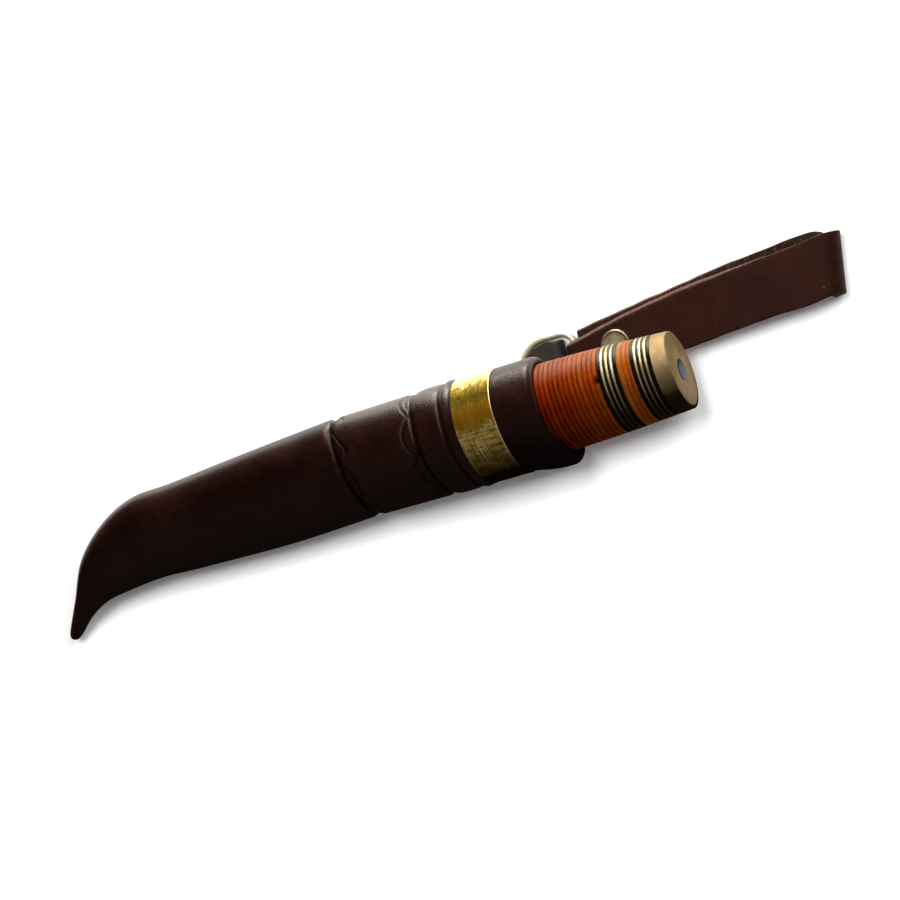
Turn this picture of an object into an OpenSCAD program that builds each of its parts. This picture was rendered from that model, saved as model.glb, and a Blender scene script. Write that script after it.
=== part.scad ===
// Puukko: a belt knife with a stacked birch bark handle in a wet formed leather sheath.
// It lies on its back as it is put down, the sheath's front up, millimetres, +Z up, +X towards the butt.
// The sheath is worked out in a knife frame: x = 0 at the sheath's mouth, +y the edge side, +z the front.

/* [Handle] */
// Length of the handle from the front of the bolster to the butt
handle_len = 104; // [96:1:116]
// Length of handle that stands out of the sheath
grip_out = 38.5; // [34:0.5:44]
// Height of the handle at its thickest place
grip_h = 27.2; // [24:0.2:28]
// Thickness of the handle at its thickest place
grip_w = 21.2; // [18:0.2:22]
// Height of the handle at the butt
butt_h = 22.9; // [20:0.1:24]
// Thickness of the handle at the butt
butt_w = 17.6; // [15:0.1:18.4]
// Height of the handle at the bolster's front
bolster_h = 22.6; // [20:0.1:24]
// Thickness of the handle at the bolster's front
bolster_w = 14.2; // [12:0.1:14.4]
// Place of the thickest section, behind the mouth
swell_in = 14; // [8:1:24]
// Length of the brass bolster
bolster_len = 6; // [4:0.5:9]
// Length of the brass butt cap
cap_len = 4.4; // [3.4:0.1:8]
// Thickness of the black leather spacer disc at each end of a set
outer_t = 1.05; // [0.8:0.01:1.3]
// Thickness of a black leather spacer disc inside a set
inner_t = 0.6; // [0.5:0.01:0.9]
// Thickness of one brass spacer disc
brass_t = 0.82; // [0.6:0.01:1]
// Thickness of one birch bark disc, as near as a whole number of discs allows
bark_t = 1.45; // [1.2:0.05:2.4]
// Number of bark discs between the two spacer sets
rear_bark_count = 3; // [2:1:5]
// Thickness of one bark disc between the two spacer sets
rear_bark_t = 1.3; // [1:0.05:1.8]

/* [Blade] */
// Length of the blade in front of the bolster
blade_len = 94.5; // [85:0.5:104]
// Height of the blade from spine to edge
blade_h = 18; // [16:0.5:20]
// Thickness of the blade at the spine
blade_t = 4; // [3:0.1:5]
// Height of the ground bevel
bevel_h = 8; // [5:0.5:10]
// Length of the curved belly
belly_len = 38; // [28:1:46]
// Height of the tang in the handle
tang_h = 5.8; // [4.5:0.1:7]
// Diameter of the peened tang end
peen_d = 7; // [6.8:0.1:9]
// Depth of the peened tang end in the cap
peen_depth = 1.2; // [0.8:0.1:2]

/* [Sheath] */
// Thickness of the leather
leather_t = 1.9; // [1.6:0.1:2.4]
// Clearance between the handle and the leather
handle_gap = 0.35; // [0.3:0.05:0.6]
// Height of the sheath at the throat
throat_h = 32.6; // [31.6:0.2:36]
// Half thickness of the sheath at the nose
nose_half = 5.8; // [5.4:0.1:7]
// Length of the leather hook past the blade's point
hook_len = 27.4; // [22:0.2:34]
// Drop of the hook's tip below the knife's axis
hook_drop = 29.6; // [26:0.2:34]
// Distance of the brass band from the mouth
band_in = 12.5; // [10:0.5:16]
// Width of the brass band
band_w = 12.4; // [8:0.2:14]
// Thickness of the brass band
band_t = 0.5; // [0.3:0.05:0.8]
// Distance of the third crease from the mouth
crease_3 = 28.5; // [28:0.5:32]
// Distance of the second crease from the mouth
crease_2 = 37.8; // [35:0.2:42]
// Depth of a crease
crease_depth = 0.6; // [0.3:0.1:0.8]
// Thickness of the sewing thread
thread_d = 0.9; // [0.6:0.1:1.2]
// Pitch of the back seam's stitches at the pocket
stitch_pitch = 4; // [3:0.5:5]

/* [Hanger] */
// Thickness of the strap and keeper leather
strap_t = 1.5; // [1.2:0.1:1.8]
// Thickness of the ring's wire
wire_d = 1.8; // [1.5:0.1:2.2]
// Room around the wire in the leather loops
wire_gap = 0.2; // [0.15:0.05:0.3]
// Width of the ring at the middle of its wire
ring_w = 17.6; // [17.2:0.2:22]
// Length of the ring's straight sides
ring_side = 8.9; // [8:0.1:14]
// Distance of the ring's straight bar past the mouth
bar_out = 5; // [4.6:0.2:6.4]
// Distance of the ring's middle line from the knife's axis
ring_y = 12; // [11:0.5:14]
// Width of the leather keeper that holds the ring
keeper_w = 14; // [11:0.5:14.6]
// Width of the strap at the ring
strap_w_ring = 11.6; // [9:0.2:13]
// Width of the strap past its middle
strap_w_mid = 18; // [15:0.1:20]
// Width of the strap at its fold
strap_w_fold = 16.3; // [13:0.1:20]
// Distance of the strap's fold past the mouth
strap_reach = 85.4; // [80:0.2:100]
// Height of the slot that the belt goes through
belt_slot_h = 5.4; // [4.6:0.1:5.8]
// Sideways bow of the strap's back layer
strap_bow = 3.3; // [0:0.1:4.2]
// Skew of the strap's fold, the far side reaching further than the near side
fold_skew = 2.8; // [0:0.2:4]
// Sideways lean of the strap from ring to fold
strap_lean = 4.4; // [0:0.2:6]
// Diameter of the rivet's domed cap
rivet_d = 8.8; // [7:0.1:9.6]
// Diameter of the rivet's post
post_d = 3; // [2:0.1:4]
// Distance of the rivet past the mouth
rivet_out = 18.2; // [17:0.2:20]
// Thickness of the rivet's domed cap
rivet_cap_t = 1.5; // [1:0.1:2]
// Thickness of the rivet's back cap
rivet_back_t = 0.8; // [0.6:0.1:1.2]

/* [Pose] */
// Turn of the sheath about its length as it lies, with the hook's tip on the table
roll = 30; // [24:0.5:36]

/* [Hidden] */

// Corners around an oval and steps along a curve
SIDES = 40;
BLADE_STEPS = 5;
ROUND = 48;
BLACK_PER_SET = 4;
BRASS_PER_SET = 3;
BOLSTER_STEPS = 4;

// Places along the knife's axis
throat_x = grip_out - handle_len;
point_x = throat_x - blade_len;
swell_x = -swell_in;
set_len = 2 * outer_t + (BLACK_PER_SET - 2) * inner_t + BRASS_PER_SET * brass_t;
rear_bark_len = rear_bark_count * rear_bark_t;
cap_x = grip_out - cap_len;
set_2_x = cap_x - set_len;
rear_bark_x = set_2_x - rear_bark_len;
set_1_x = rear_bark_x - set_len;
grip_x = throat_x + bolster_len;
grip_bark_count = round((set_1_x - grip_x) / bark_t);
grip_bark_t = (set_1_x - grip_x) / grip_bark_count;

// Half sizes of the handle's oval at a place on its axis
function swell(x, most, rear, front) =
    x > swell_x
    ? most - (most - rear) * pow((x - swell_x) / (grip_out - swell_x), 2)
    : most - (most - front) * pow((x - swell_x) / (throat_x - swell_x), 2);
function grip_a(x) = swell(x, grip_h, butt_h, bolster_h) / 2;
function grip_b(x) = swell(x, grip_w, butt_w, bolster_w) / 2;

// Half sizes of the pocket, wide enough for the handle to be drawn through it
pocket_a = grip_h / 2 + handle_gap;
function pocket_b(x) = handle_gap + (x > swell_x ? grip_w / 2 : grip_b(x));

// Half sizes of the sheath outside
mouth_a = pocket_a + leather_t;
throat_a = throat_h / 2;
function pocket_out_a(x) = mouth_a + (throat_a - mouth_a) * x / throat_x;
function pocket_out_b(x) = pocket_b(x) + leather_t;
band_x0 = -band_in - band_w;
band_x1 = -band_in;
band_seat = 0.4;
seat_fit = 0.04;
seat_a = pocket_out_a(band_x1) - band_seat;
seat_b = pocket_out_b(band_x0) - band_seat;
band_out_a = seat_a + seat_fit + band_t;
band_out_b = seat_b + seat_fit + band_t;

// Rounded oval: a power of 2 is an ellipse, a larger one is squarer
function signed_pow(v, p) = sign(v) * pow(abs(v), p);
function oval(angle, power) = [signed_pow(cos(angle), 2 / power), signed_pow(sin(angle), 2 / power)];
function oval_outline(a, b) = [for (i = [0:SIDES - 1]) [a * cos(i * 360 / SIDES), b * sin(i * 360 / SIDES)]];

// One row of the sheath: edge point, spine point, half thickness and roundness power
function row(top, bottom, half, power) = [top.x, top.y, bottom.x, bottom.y, half, power];
function level_row(x, a, half) = row([x, a], [x, -a], half, 2);
function row_ring(r) = [
    for (i = [0:SIDES - 1])
        let (o = oval(i * 360 / SIDES, r[5]))
        [(r[0] + r[2]) / 2 + (r[0] - r[2]) / 2 * o.x,
         (r[1] + r[3]) / 2 + (r[1] - r[3]) / 2 * o.x,
         r[4] * o.y]];
function inset_row(r, wall) =
    let (v = [r[0] - r[2], r[1] - r[3]], u = v / norm(v))
    row([r[0], r[1]] - wall * u, [r[2], r[3]] + wall * u, r[4] - wall, r[5]);

// Smooth curve through control rows
function curve_at(p, q, r, s, t) =
    (2 * q + (r - p) * t + (2 * p - 5 * q + 4 * r - s) * t * t + (3 * q - p - 3 * r + s) * t * t * t) / 2;
function smooth(rows, steps) =
    let (last = len(rows) - 1)
    concat([for (i = [0:last - 1]) for (k = [0:steps - 1])
        curve_at(rows[max(i - 1, 0)], rows[i], rows[i + 1], rows[min(i + 2, last)], k / steps)], [rows[last]]);
function reversed(list) = [for (i = [len(list) - 1:-1:0]) list[i]];

// The blade part's outline from the throat to the hook's tip: the spine side is nearly straight,
// the edge side falls to the nose, and both sides bend to the hook
throat_b = pocket_out_b(throat_x);
hook_x = point_x - hook_len;
spine_y = blade_h / 2 + 7.8;
edge_mid_y = blade_h / 2 + 5.6;
edge_nose_y = blade_h / 2 + 2.6;
tip_half = 2.9;
function on_blade(share) = throat_x - share * blade_len;
function on_hook(share) = point_x - share * hook_len;
blade_rows = smooth([
    row([throat_x, throat_a], [throat_x, -throat_a], throat_b, 2.1),
    row([on_blade(0.3), edge_mid_y], [on_blade(0.31), -spine_y - 0.6], throat_b - 1.6, 2.3),
    row([on_blade(0.62), edge_nose_y + 0.7], [on_blade(0.65), -spine_y], nose_half + 0.8, 2.5),
    row([on_blade(0.79), edge_nose_y - 0.1], [on_blade(0.81), -spine_y + 0.5], nose_half, 2.6),
    row([on_blade(0.936), edge_nose_y - 5.2], [on_blade(0.958), -spine_y - 0.7], nose_half - 0.5, 2.6),
    row([on_hook(0.255), -2.7], [on_hook(0.237), -spine_y - 2.4], nose_half - 1.1, 2.5),
    row([on_hook(0.62), -hook_drop / 2], [on_hook(0.566), -0.784 * hook_drop], nose_half - 1.9, 2.3),
    row([on_hook(0.927), -0.838 * hook_drop], [on_hook(0.818), -0.946 * hook_drop], tip_half + 0.3, 2),
    row([hook_x, -0.966 * hook_drop], [hook_x + 1.8, -hook_drop], tip_half, 2)], BLADE_STEPS);

// The pocket part outside, from the throat to the mouth, with its creases, band seat and rounded rim
crease_half = 0.9;
rim_r = 0.9;
function pocket_row(x, sunk) = level_row(x, pocket_out_a(x) - sunk, pocket_out_b(x) - sunk);
function between_creases(share) = throat_x - share * (throat_x + crease_2);
function crease_rows(x) = [pocket_row(x - crease_half, 0), pocket_row(x, crease_depth), pocket_row(x + crease_half, 0)];
seat_margin = 0.25;
pocket_rows = concat(
    [pocket_row(throat_x + crease_half, crease_depth), pocket_row(throat_x + 3 * crease_half, 0),
     pocket_row(between_creases(0.36), 0), pocket_row(between_creases(0.68), 0)],
    crease_rows(-crease_2), crease_rows(-crease_3),
    [pocket_row(band_x0 - seat_margin - 0.3, 0), level_row(band_x0 - seat_margin, seat_a, seat_b),
     level_row(band_x1 + seat_margin, seat_a, seat_b), pocket_row(band_x1 + seat_margin + 0.3, 0),
     pocket_row(-band_in / 2, 0), pocket_row(-rim_r, 0), pocket_row(-rim_r * 0.3, rim_r * 0.3), pocket_row(0, rim_r)]);

// The inside: the pocket down to the throat, then the room that the wooden liner fills
hook_rows = 16;
liner_gap = 0.1;
stop_gap = 0.3;
rim_in = 0.35;
cavity_rows = [for (i = [0:len(blade_rows) - hook_rows]) inset_row(blade_rows[i], leather_t)];
inside_rows = concat(
    [level_row(0, pocket_a + rim_in, pocket_b(0) + rim_in), level_row(-rim_r, pocket_a, pocket_b(0))],
    [for (i = [1:6]) let (x = throat_x * i / 6) level_row(x, pocket_a, pocket_b(x))],
    [for (i = [1:len(cavity_rows) - 1]) cavity_rows[i]]);
sheath_rings = [for (r = concat(reversed(blade_rows), pocket_rows, inside_rows)) row_ring(r)];

// The lie of the sheath: the keeper's loop lies flat on the table under the sheath's back
loop_in_r = wire_d / 2 + wire_gap;
keeper_h = 2 * (loop_in_r + strap_t);
keeper_y0 = ring_y - keeper_w / 2;
seat_touch = 0.05;
function back_depth(y, a, b) =
    let (s = sin(roll), c = cos(roll),
         qa = pow(s / a, 2) + pow(c / b, 2),
         qb = 2 * y * s * c * (1 / (a * a) - 1 / (b * b)),
         qc = y * y * (pow(c / a, 2) + pow(s / b, 2)) - 1)
    (qb + sqrt(qb * qb - 4 * qa * qc)) / (2 * qa);
axis_h = keeper_h + seat_touch
    + max(back_depth(keeper_y0, mouth_a, pocket_out_b(0)), back_depth(keeper_y0, band_out_a, band_out_b));
function laid(p) = [p.x, p.y * cos(roll) - p.z * sin(roll), p.y * sin(roll) + p.z * cos(roll) + axis_h];

// The strap's strip, as its middle line seen from the side: tail, turn round the bar, front layer,
// fold, back layer and its end under the rivet
wire_z = keeper_h / 2;
layer_gap = 0.1;
turn_r = loop_in_r + strap_t / 2;
fold_r = (belt_slot_h + strap_t) / 2;
fold_x = strap_reach - fold_r - strap_t / 2;
rivet_x = rivet_out;
tail_len = 7;
flat_half = 5;
bar_flat = 1.5;
dip_len = 8;
end_room = 1.8;
tail_x = rivet_x + tail_len;
tail_z = rivet_back_t + strap_t / 2;
mid_z = tail_z + strap_t + layer_gap;
front_z = mid_z + strap_t + layer_gap;
floor_z = strap_t / 2;
fold_z = floor_z + fold_r;
top_z = floor_z + 2 * fold_r;
function arc_points(x, z, r, from, to, count) =
    [for (i = [0:count]) let (t = from + (to - from) * i / count) [x + r * cos(t), z + r * sin(t)]];
// Each point: distance along, height, share of the way from ring to fold, sideways bow of the back layer
function along(x) = max(0, min(1, (x - bar_out) / (fold_x - bar_out)));
function soft(t) = let (u = max(0, min(1, t))) u * u * (3 - 2 * u);
function bow_at(share) = (1 - 0.42 * share * share) * (1 - pow(share, 30));
function strap_w(share) = strap_w_ring + (strap_w_mid - strap_w_ring) * soft(share / 0.55)
    - (strap_w_mid - strap_w_fold) * pow(share, 12);
function strip(points, bow) = [for (p = points) [p.x, p.y, along(p.x), bow * bow_at(along(p.x))]];
ease = [0, 0.16, 0.5, 0.84, 1];
function ramp(x0, z0, x1, z1) = [for (i = [0:4]) [x0 + (x1 - x0) * i / 4, z0 + (z1 - z0) * ease[i]]];
rise_x = (fold_x - tail_x) * 0.55 + tail_x;
dip_x = tail_x + dip_len + 1;
strip_points = concat(
    strip(concat([[tail_x, tail_z], [rivet_x, tail_z]],
        ramp(rivet_x - flat_half, tail_z, bar_out + bar_flat, floor_z),
        arc_points(bar_out, wire_z, turn_r, 270, 90, 8),
        ramp(bar_out + bar_flat, wire_z + turn_r, rivet_x - flat_half, front_z),
        [[rivet_x, front_z]], ramp(rivet_x + flat_half, front_z, rise_x, top_z),
        [for (i = [1:3]) [rise_x + (fold_x - rise_x) * i / 4, top_z]]), 0),
    strip(concat(arc_points(fold_x, fold_z, fold_r, 90, -90, 12),
        [for (i = [1:7]) [fold_x + (dip_x - fold_x) * i / 8, floor_z]],
        ramp(dip_x, floor_z, dip_x - dip_len, mid_z), [[rivet_x, mid_z]],
        ramp(rivet_x - flat_half, mid_z, bar_out + end_room, wire_z)), strap_bow));
function strip_normal(i) =
    let (p = strip_points[max(i - 1, 0)], q = strip_points[min(i + 1, len(strip_points) - 1)],
         d = [q.x - p.x, q.y - p.y])
    [-d.y, d.x] / norm(d);
function strip_ring(i) =
    let (p = strip_points[i], n = strip_normal(i) * strap_t / 2,
         half = strap_w(p[2]) / 2, y = ring_y + strap_lean * p[2] + p[3],
         skew = fold_skew / 2 * pow(p[2], 3))
    [[p.x + n.x - skew, y - half, p.y + n.y], [p.x + n.x + skew, y + half, p.y + n.y],
     [p.x - n.x + skew, y + half, p.y - n.y], [p.x - n.x - skew, y - half, p.y - n.y]];
strap_rings = [for (i = [0:len(strip_points) - 1]) strip_ring(i)];
rivet_y = ring_y + strap_lean * along(rivet_x);

// The part's origin: the middle of its box, on the table
sheath_points = [for (r = sheath_rings) for (p = r) laid(p)];
strap_points = [for (r = strap_rings) for (p = r) p];
box_x = (min([for (p = sheath_points) p.x]) + max([for (p = strap_points) p.x])) / 2;
box_y = (min([for (p = sheath_points) p.y]) + max([for (p = strap_points) p.y])) / 2;

// Closed skin over a list of rings of equal count
module skin(rings) {
    n = len(rings[0]);
    last = len(rings) - 1;
    sides = [for (i = [0:last - 1]) for (j = [0:n - 1])
        let (a = i * n + j, b = i * n + (j + 1) % n, c = a + n, d = b + n)
        each [[a, c, d], [a, d, b]]];
    near_cap = [for (j = [1:n - 2]) [0, j, j + 1]];
    far_cap = [for (j = [1:n - 2]) [last * n, last * n + j + 1, last * n + j]];
    polyhedron([for (r = rings) each r], concat(sides, near_cap, far_cap));
}

// Places a piece on the table, or on the sheath's axis
module on_table() {
    translate([-box_x, -box_y, 0]) children();
}
module on_axis() {
    on_table() translate([0, 0, axis_h]) rotate([roll, 0, 0]) children();
}
// Stands an outline of the knife's cross section on its axis from x onwards
module across(x, length) {
    on_axis() translate([x, 0, 0]) rotate([90, 0, 90]) linear_extrude(length) children();
}

tang_fit = 0.05;
module tang_slot() {
    square([tang_h + 2 * tang_fit, blade_t + 2 * tang_fit], center = true);
}
module grip_disc(x, length) {
    across(x, length) difference() {
        polygon(oval_outline(grip_a(x + length / 2), grip_b(x + length / 2)));
        tang_slot();
    }
}
module bark_discs(x, count, thick) {
    color("peru") for (i = [0:count - 1]) grip_disc(x + i * thick, thick);
}
// A set starts and ends with a black disc, and the brass discs lie between the black ones
function set_at(in_first) = in_first ? set_1_x : set_2_x;
function black_at(place) = place == 0 ? 0 : outer_t + place * brass_t + (place - 1) * inner_t;
function black_t(place) = place == 0 || place == BLACK_PER_SET - 1 ? outer_t : inner_t;
module black_spacer(i) {
    place = (i - 1) % BLACK_PER_SET;
    color("#17120f") grip_disc(set_at(i <= BLACK_PER_SET) + black_at(place), black_t(place));
}
module brass_spacer(i) {
    place = (i - 1) % BRASS_PER_SET;
    color("khaki") grip_disc(set_at(i <= BRASS_PER_SET) + outer_t + place * (brass_t + inner_t), brass_t);
}

// Blade: five cornered sections from the throat to the point, with the flat ground bevel on the edge side
edge_t = 0.15;
point_t = 1.4;
spine = -blade_h / 2;
function edge_at(x) =
    x > point_x + belly_len ? spine + blade_h
    : spine + blade_h * sqrt(1 - pow((point_x + belly_len - x) / belly_len, 2));
function blade_section(x) =
    let (high = edge_at(x) - spine, near = min(1, (x - point_x) / belly_len),
         half = (point_t + (blade_t - point_t) * sqrt(near)) / 2, bevel = min(bevel_h, high * 0.55))
    [[x, spine, -half], [x, spine + high - bevel, -half], [x, spine + high, -edge_t / 2],
     [x, spine + high, edge_t / 2], [x, spine + high - bevel, half], [x, spine, half]];
blade_steps = [for (i = [1:12]) point_x + belly_len * (1 - cos(90 * i / 12))];
module blade() {
    color("#a9afb5") {
        on_axis() skin([for (x = concat(blade_steps, [throat_x])) blade_section(x)]);
        across(throat_x, handle_len - peen_depth) square([tang_h, blade_t], center = true);
        on_axis() translate([grip_out - peen_depth, 0, 0]) rotate([0, 90, 0])
            cylinder(d = peen_d, h = peen_depth, $fn = ROUND);
    }
}
module front_bolster() {
    slice = bolster_len / BOLSTER_STEPS;
    color("goldenrod") for (i = [0:BOLSTER_STEPS - 1]) grip_disc(throat_x + i * slice, slice);
}
module bark_grip_discs() {
    bark_discs(grip_x, grip_bark_count, grip_bark_t);
}
module bark_rear_discs() {
    bark_discs(rear_bark_x, rear_bark_count, rear_bark_t);
}
module butt_cap() {
    color("darkkhaki") difference() {
        grip_disc(cap_x, cap_len);
        on_axis() translate([grip_out - peen_depth, 0, 0]) rotate([0, 90, 0])
            cylinder(d = peen_d + 2 * tang_fit, h = peen_depth + 1, $fn = ROUND);
    }
}

module sheath_leather() {
    color("#3a1e18") on_axis() skin(sheath_rings);
}
// Liner halves: one side of the cavity rows, closed on the blade's plane. Half of the blade's slot is cut
// in two depths, shallow along the thin edge and deep along the spine
blade_gap = 0.35;
edge_slot_half = blade_t / 4 + blade_gap;
spine_slot_half = blade_t / 2 + blade_gap;
liner_rows = [for (r = cavity_rows) inset_row(r, liner_gap)];
function half_ring(r, side) =
    let (ring = row_ring(r))
    [for (i = [0:SIDES / 2]) let (p = ring[i]) [p.x, p.y, side * max(0, p.z)]];
module slot_cut(side, depth, inward) {
    outline = concat(
        [[throat_x + 1, spine - blade_gap], [throat_x + 1, spine + blade_h + blade_gap - inward]],
        [for (i = [12:-2:0]) let (x = point_x + belly_len * (1 - cos(90 * i / 12)))
            [x - blade_gap, max(spine, edge_at(x) - inward) + blade_gap]],
        [[point_x - blade_gap, spine - blade_gap]]);
    translate([0, 0, side > 0 ? -1 : -depth]) linear_extrude(depth + 1) polygon(outline);
}
module liner_half(side) {
    rows = concat([[for (i = [0:5]) liner_rows[0][i] - (i == 0 || i == 2 ? stop_gap : 0)]],
        [for (i = [1:len(liner_rows) - 2]) liner_rows[i]]);
    on_axis() difference() {
        skin([for (r = side > 0 ? reversed(rows) : rows) half_ring(r, side)]);
        slot_cut(side, edge_slot_half, 0);
        slot_cut(side, spine_slot_half, bevel_h / 2);
    }
}
module liner_front_half() {
    color("burlywood") liner_half(1);
}
module liner_back_half() {
    color("tan") liner_half(-1);
}
module mouth_band() {
    color("gold") across(band_x0, band_w) difference() {
        polygon(oval_outline(band_out_a, band_out_b));
        polygon(oval_outline(seat_a + seat_fit, seat_b + seat_fit));
    }
}
// Back seam: stitches along the middle of the sheath's back, half sunk in the leather
seam_rows = concat([for (i = [len(blade_rows) - 8:-1:1]) blade_rows[i]],
    [for (i = [1:5]) pocket_row(throat_x + 2 + i * stitch_pitch, 0)]);
function back_point(r) = [(r[0] + r[2]) / 2, (r[1] + r[3]) / 2, -r[4]];
module thread(p, q) {
    d = q - p;
    translate(p) rotate([0, acos(d.z / norm(d)), atan2(d.y, d.x)]) cylinder(d = thread_d, h = norm(d), $fn = 16);
}
module back_seam_stitches() {
    color("#2a1a12") on_axis() for (i = [0:len(seam_rows) - 2]) {
        p = back_point(seam_rows[i]);
        q = back_point(seam_rows[i + 1]);
        thread(p + 0.2 * (q - p), p + 0.8 * (q - p));
    }
}
// Keeper: a flat loop of leather, open sideways for the ring's wire, its folded end trimmed to a round tongue
loop_room = 0.35;
ring_room = 0.5;
keeper_x1 = bar_out - loop_in_r - strap_t - loop_room;
keeper_x0 = bar_out - ring_side - ring_w / 2 - wire_d / 2 - strap_t - ring_room;
tongue_r = keeper_w - 0.15;
module slot_outline(x0, x1, r) {
    translate([x0 + r, 0]) circle(r, $fn = ROUND);
    translate([x1 - r, 0]) circle(r, $fn = ROUND);
    translate([x0 + r, -r]) square([x1 - x0 - 2 * r, 2 * r]);
}
module ring_keeper() {
    tongue_x = keeper_x0 + tongue_r;
    color("#43251c") on_table() translate([0, keeper_y0, 0]) intersection() {
        translate([0, keeper_w, wire_z]) rotate([90, 0, 0]) linear_extrude(keeper_w) difference() {
            slot_outline(keeper_x0, keeper_x1, keeper_h / 2);
            slot_outline(keeper_x0 + strap_t, keeper_x1 - strap_t, loop_in_r);
        }
        union() {
            translate([tongue_x, 0, -1]) cylinder(r = tongue_r, h = keeper_h + 2, $fn = 2 * ROUND);
            translate([tongue_x, -1, -1]) cube([keeper_x1 - tongue_x + 1, tongue_r + 1, keeper_h + 2]);
        }
    }
}
// Keeper stitches: thread from the keeper's upper layer into the sheath's back
keeper_stitch_count = 3;
keeper_stitch_pitch = 3;
keeper_stitch_y = keeper_y0 + 1.2;
module keeper_stitches() {
    color("#2a1a12") for (i = [0:keeper_stitch_count - 1])
        on_table() translate([-3 - i * keeper_stitch_pitch, keeper_stitch_y, keeper_h - strap_t + 0.3])
            cylinder(d = thread_d, h = strap_t + 1.3, $fn = 16);
}
// Ring: a bent wire with a straight bar for the strap and a half round for the keeper
corner_r = 3.4;
module ring_wire(length) {
    rotate([0, 90, 0]) cylinder(d = wire_d, h = length, $fn = ROUND);
}
module ring_bend(r, from, sweep) {
    rotate([0, 0, from]) rotate_extrude(angle = sweep, $fn = 96) translate([r, 0]) circle(d = wire_d, $fn = ROUND);
}
module hanger_ring() {
    half = ring_w / 2;
    color("#cfc59a") on_table() translate([bar_out, ring_y, wire_z]) {
        translate([-ring_side, 0, 0]) ring_bend(half, 90, 180);
        for (side = [-1, 1]) {
            translate([-ring_side, side * half, 0]) ring_wire(ring_side - corner_r);
            translate([-corner_r, side * (half - corner_r), 0]) ring_bend(corner_r, side > 0 ? 0 : -90, 90);
        }
        translate([0, corner_r - half, 0]) rotate([0, 0, 90]) ring_wire(ring_w - 2 * corner_r);
    }
}
module belt_strap() {
    color("#3f2119") on_table() difference() {
        skin(strap_rings);
        translate([rivet_x, rivet_y, -1]) cylinder(d = post_d + 2 * tang_fit, h = front_z + strap_t + 2, $fn = ROUND);
    }
}
rivet_top = front_z + strap_t / 2;
module rivet_cap() {
    edge = 0.4;
    color("#b0a98a") on_table() translate([rivet_x, rivet_y, rivet_top]) rotate_extrude($fn = ROUND)
        polygon(concat([[0, 0], [rivet_d / 2, 0]],
            [for (i = [0:6]) [rivet_d / 2 * cos(15 * i), edge + (rivet_cap_t - edge) * sin(15 * i)]]));
}
module rivet_post() {
    color("#9c9478") on_table() translate([rivet_x, rivet_y, rivet_back_t])
        cylinder(d = post_d, h = rivet_top - rivet_back_t, $fn = ROUND);
}
module rivet_back_cap() {
    color("#a29a7c") on_table() translate([rivet_x, rivet_y, 0])
        cylinder(d = rivet_d - 1, h = rivet_back_t, $fn = ROUND);
}

blade();
front_bolster();
bark_grip_discs();
for (i = [1:8]) black_spacer(i);
for (i = [1:6]) brass_spacer(i);
bark_rear_discs();
butt_cap();
sheath_leather();
liner_front_half();
liner_back_half();
mouth_band();
back_seam_stitches();
ring_keeper();
keeper_stitches();
hanger_ring();
belt_strap();
rivet_cap();
rivet_post();
rivet_back_cap();
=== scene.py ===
# %% [markdown]
# A belt knife with a birch bark handle lies in its wet formed leather sheath, with its belt strap beside
# it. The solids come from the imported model, which is the fixed frame: each new piece takes a solid's place
# and adds what a solid leaves out, such as creases, tooled lines, bark layers, bevels and thread.

import bmesh
import bpy
import numpy as np
from mathutils import Matrix, Vector


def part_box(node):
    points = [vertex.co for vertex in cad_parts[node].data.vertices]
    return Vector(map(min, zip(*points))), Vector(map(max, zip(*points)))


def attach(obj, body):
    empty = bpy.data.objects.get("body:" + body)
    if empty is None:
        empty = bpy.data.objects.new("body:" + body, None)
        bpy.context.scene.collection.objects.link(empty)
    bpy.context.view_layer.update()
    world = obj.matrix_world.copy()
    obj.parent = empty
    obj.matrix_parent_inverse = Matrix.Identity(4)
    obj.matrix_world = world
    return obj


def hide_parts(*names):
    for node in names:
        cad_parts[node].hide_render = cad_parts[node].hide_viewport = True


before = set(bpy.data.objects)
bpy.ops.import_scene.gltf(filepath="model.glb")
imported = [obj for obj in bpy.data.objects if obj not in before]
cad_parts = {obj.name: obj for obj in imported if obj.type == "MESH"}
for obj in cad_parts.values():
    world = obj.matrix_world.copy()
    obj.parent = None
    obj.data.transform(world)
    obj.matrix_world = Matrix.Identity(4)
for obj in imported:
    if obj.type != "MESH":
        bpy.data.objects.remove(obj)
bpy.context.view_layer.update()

# %% [markdown]
# The knife lies rolled on its back, so its own axes are turned from the table's. Shapes are easier to write
# along the knife: x runs from the sheath's mouth to the butt, y to the edge side and z to the front, in
# millimetres. The axis is found from the butt cap's solid, so every piece lands where the solids are.

# %% The knife's axes and the table's
MM = 0.001
ROLL = np.radians(30.0)
GRIP_OUT = 38.5
cap_low, cap_high = (np.array(corner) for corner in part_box("butt_cap"))
MOUTH = np.array([cap_high[0] - GRIP_OUT * MM, *((cap_low + cap_high) / 2)[1:]])
TURN = np.array([[1, 0, 0], [0, np.cos(ROLL), -np.sin(ROLL)], [0, np.sin(ROLL), np.cos(ROLL)]])


def from_knife(points):
    """Knife millimetres to frame metres: turned by the roll about x, then moved to the mouth."""
    return MOUTH + MM * (np.asarray(points, float) @ TURN.T)


def from_table(points):
    """Table millimetres to frame metres: x from the mouth, y from the knife's axis, z from the table."""
    return np.array([MOUTH[0], MOUTH[1], 0]) + MM * np.asarray(points, float)


print("mouth of the sheath at", np.round(MOUTH / MM, 2), "mm")

# %% [markdown]
# The camera is set first, because every finish is judged through it. It stands high on the butt's side and
# looks down the sheath with a long lens. Its place and its axes were fitted to the outline of the sheathed
# knife.

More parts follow.
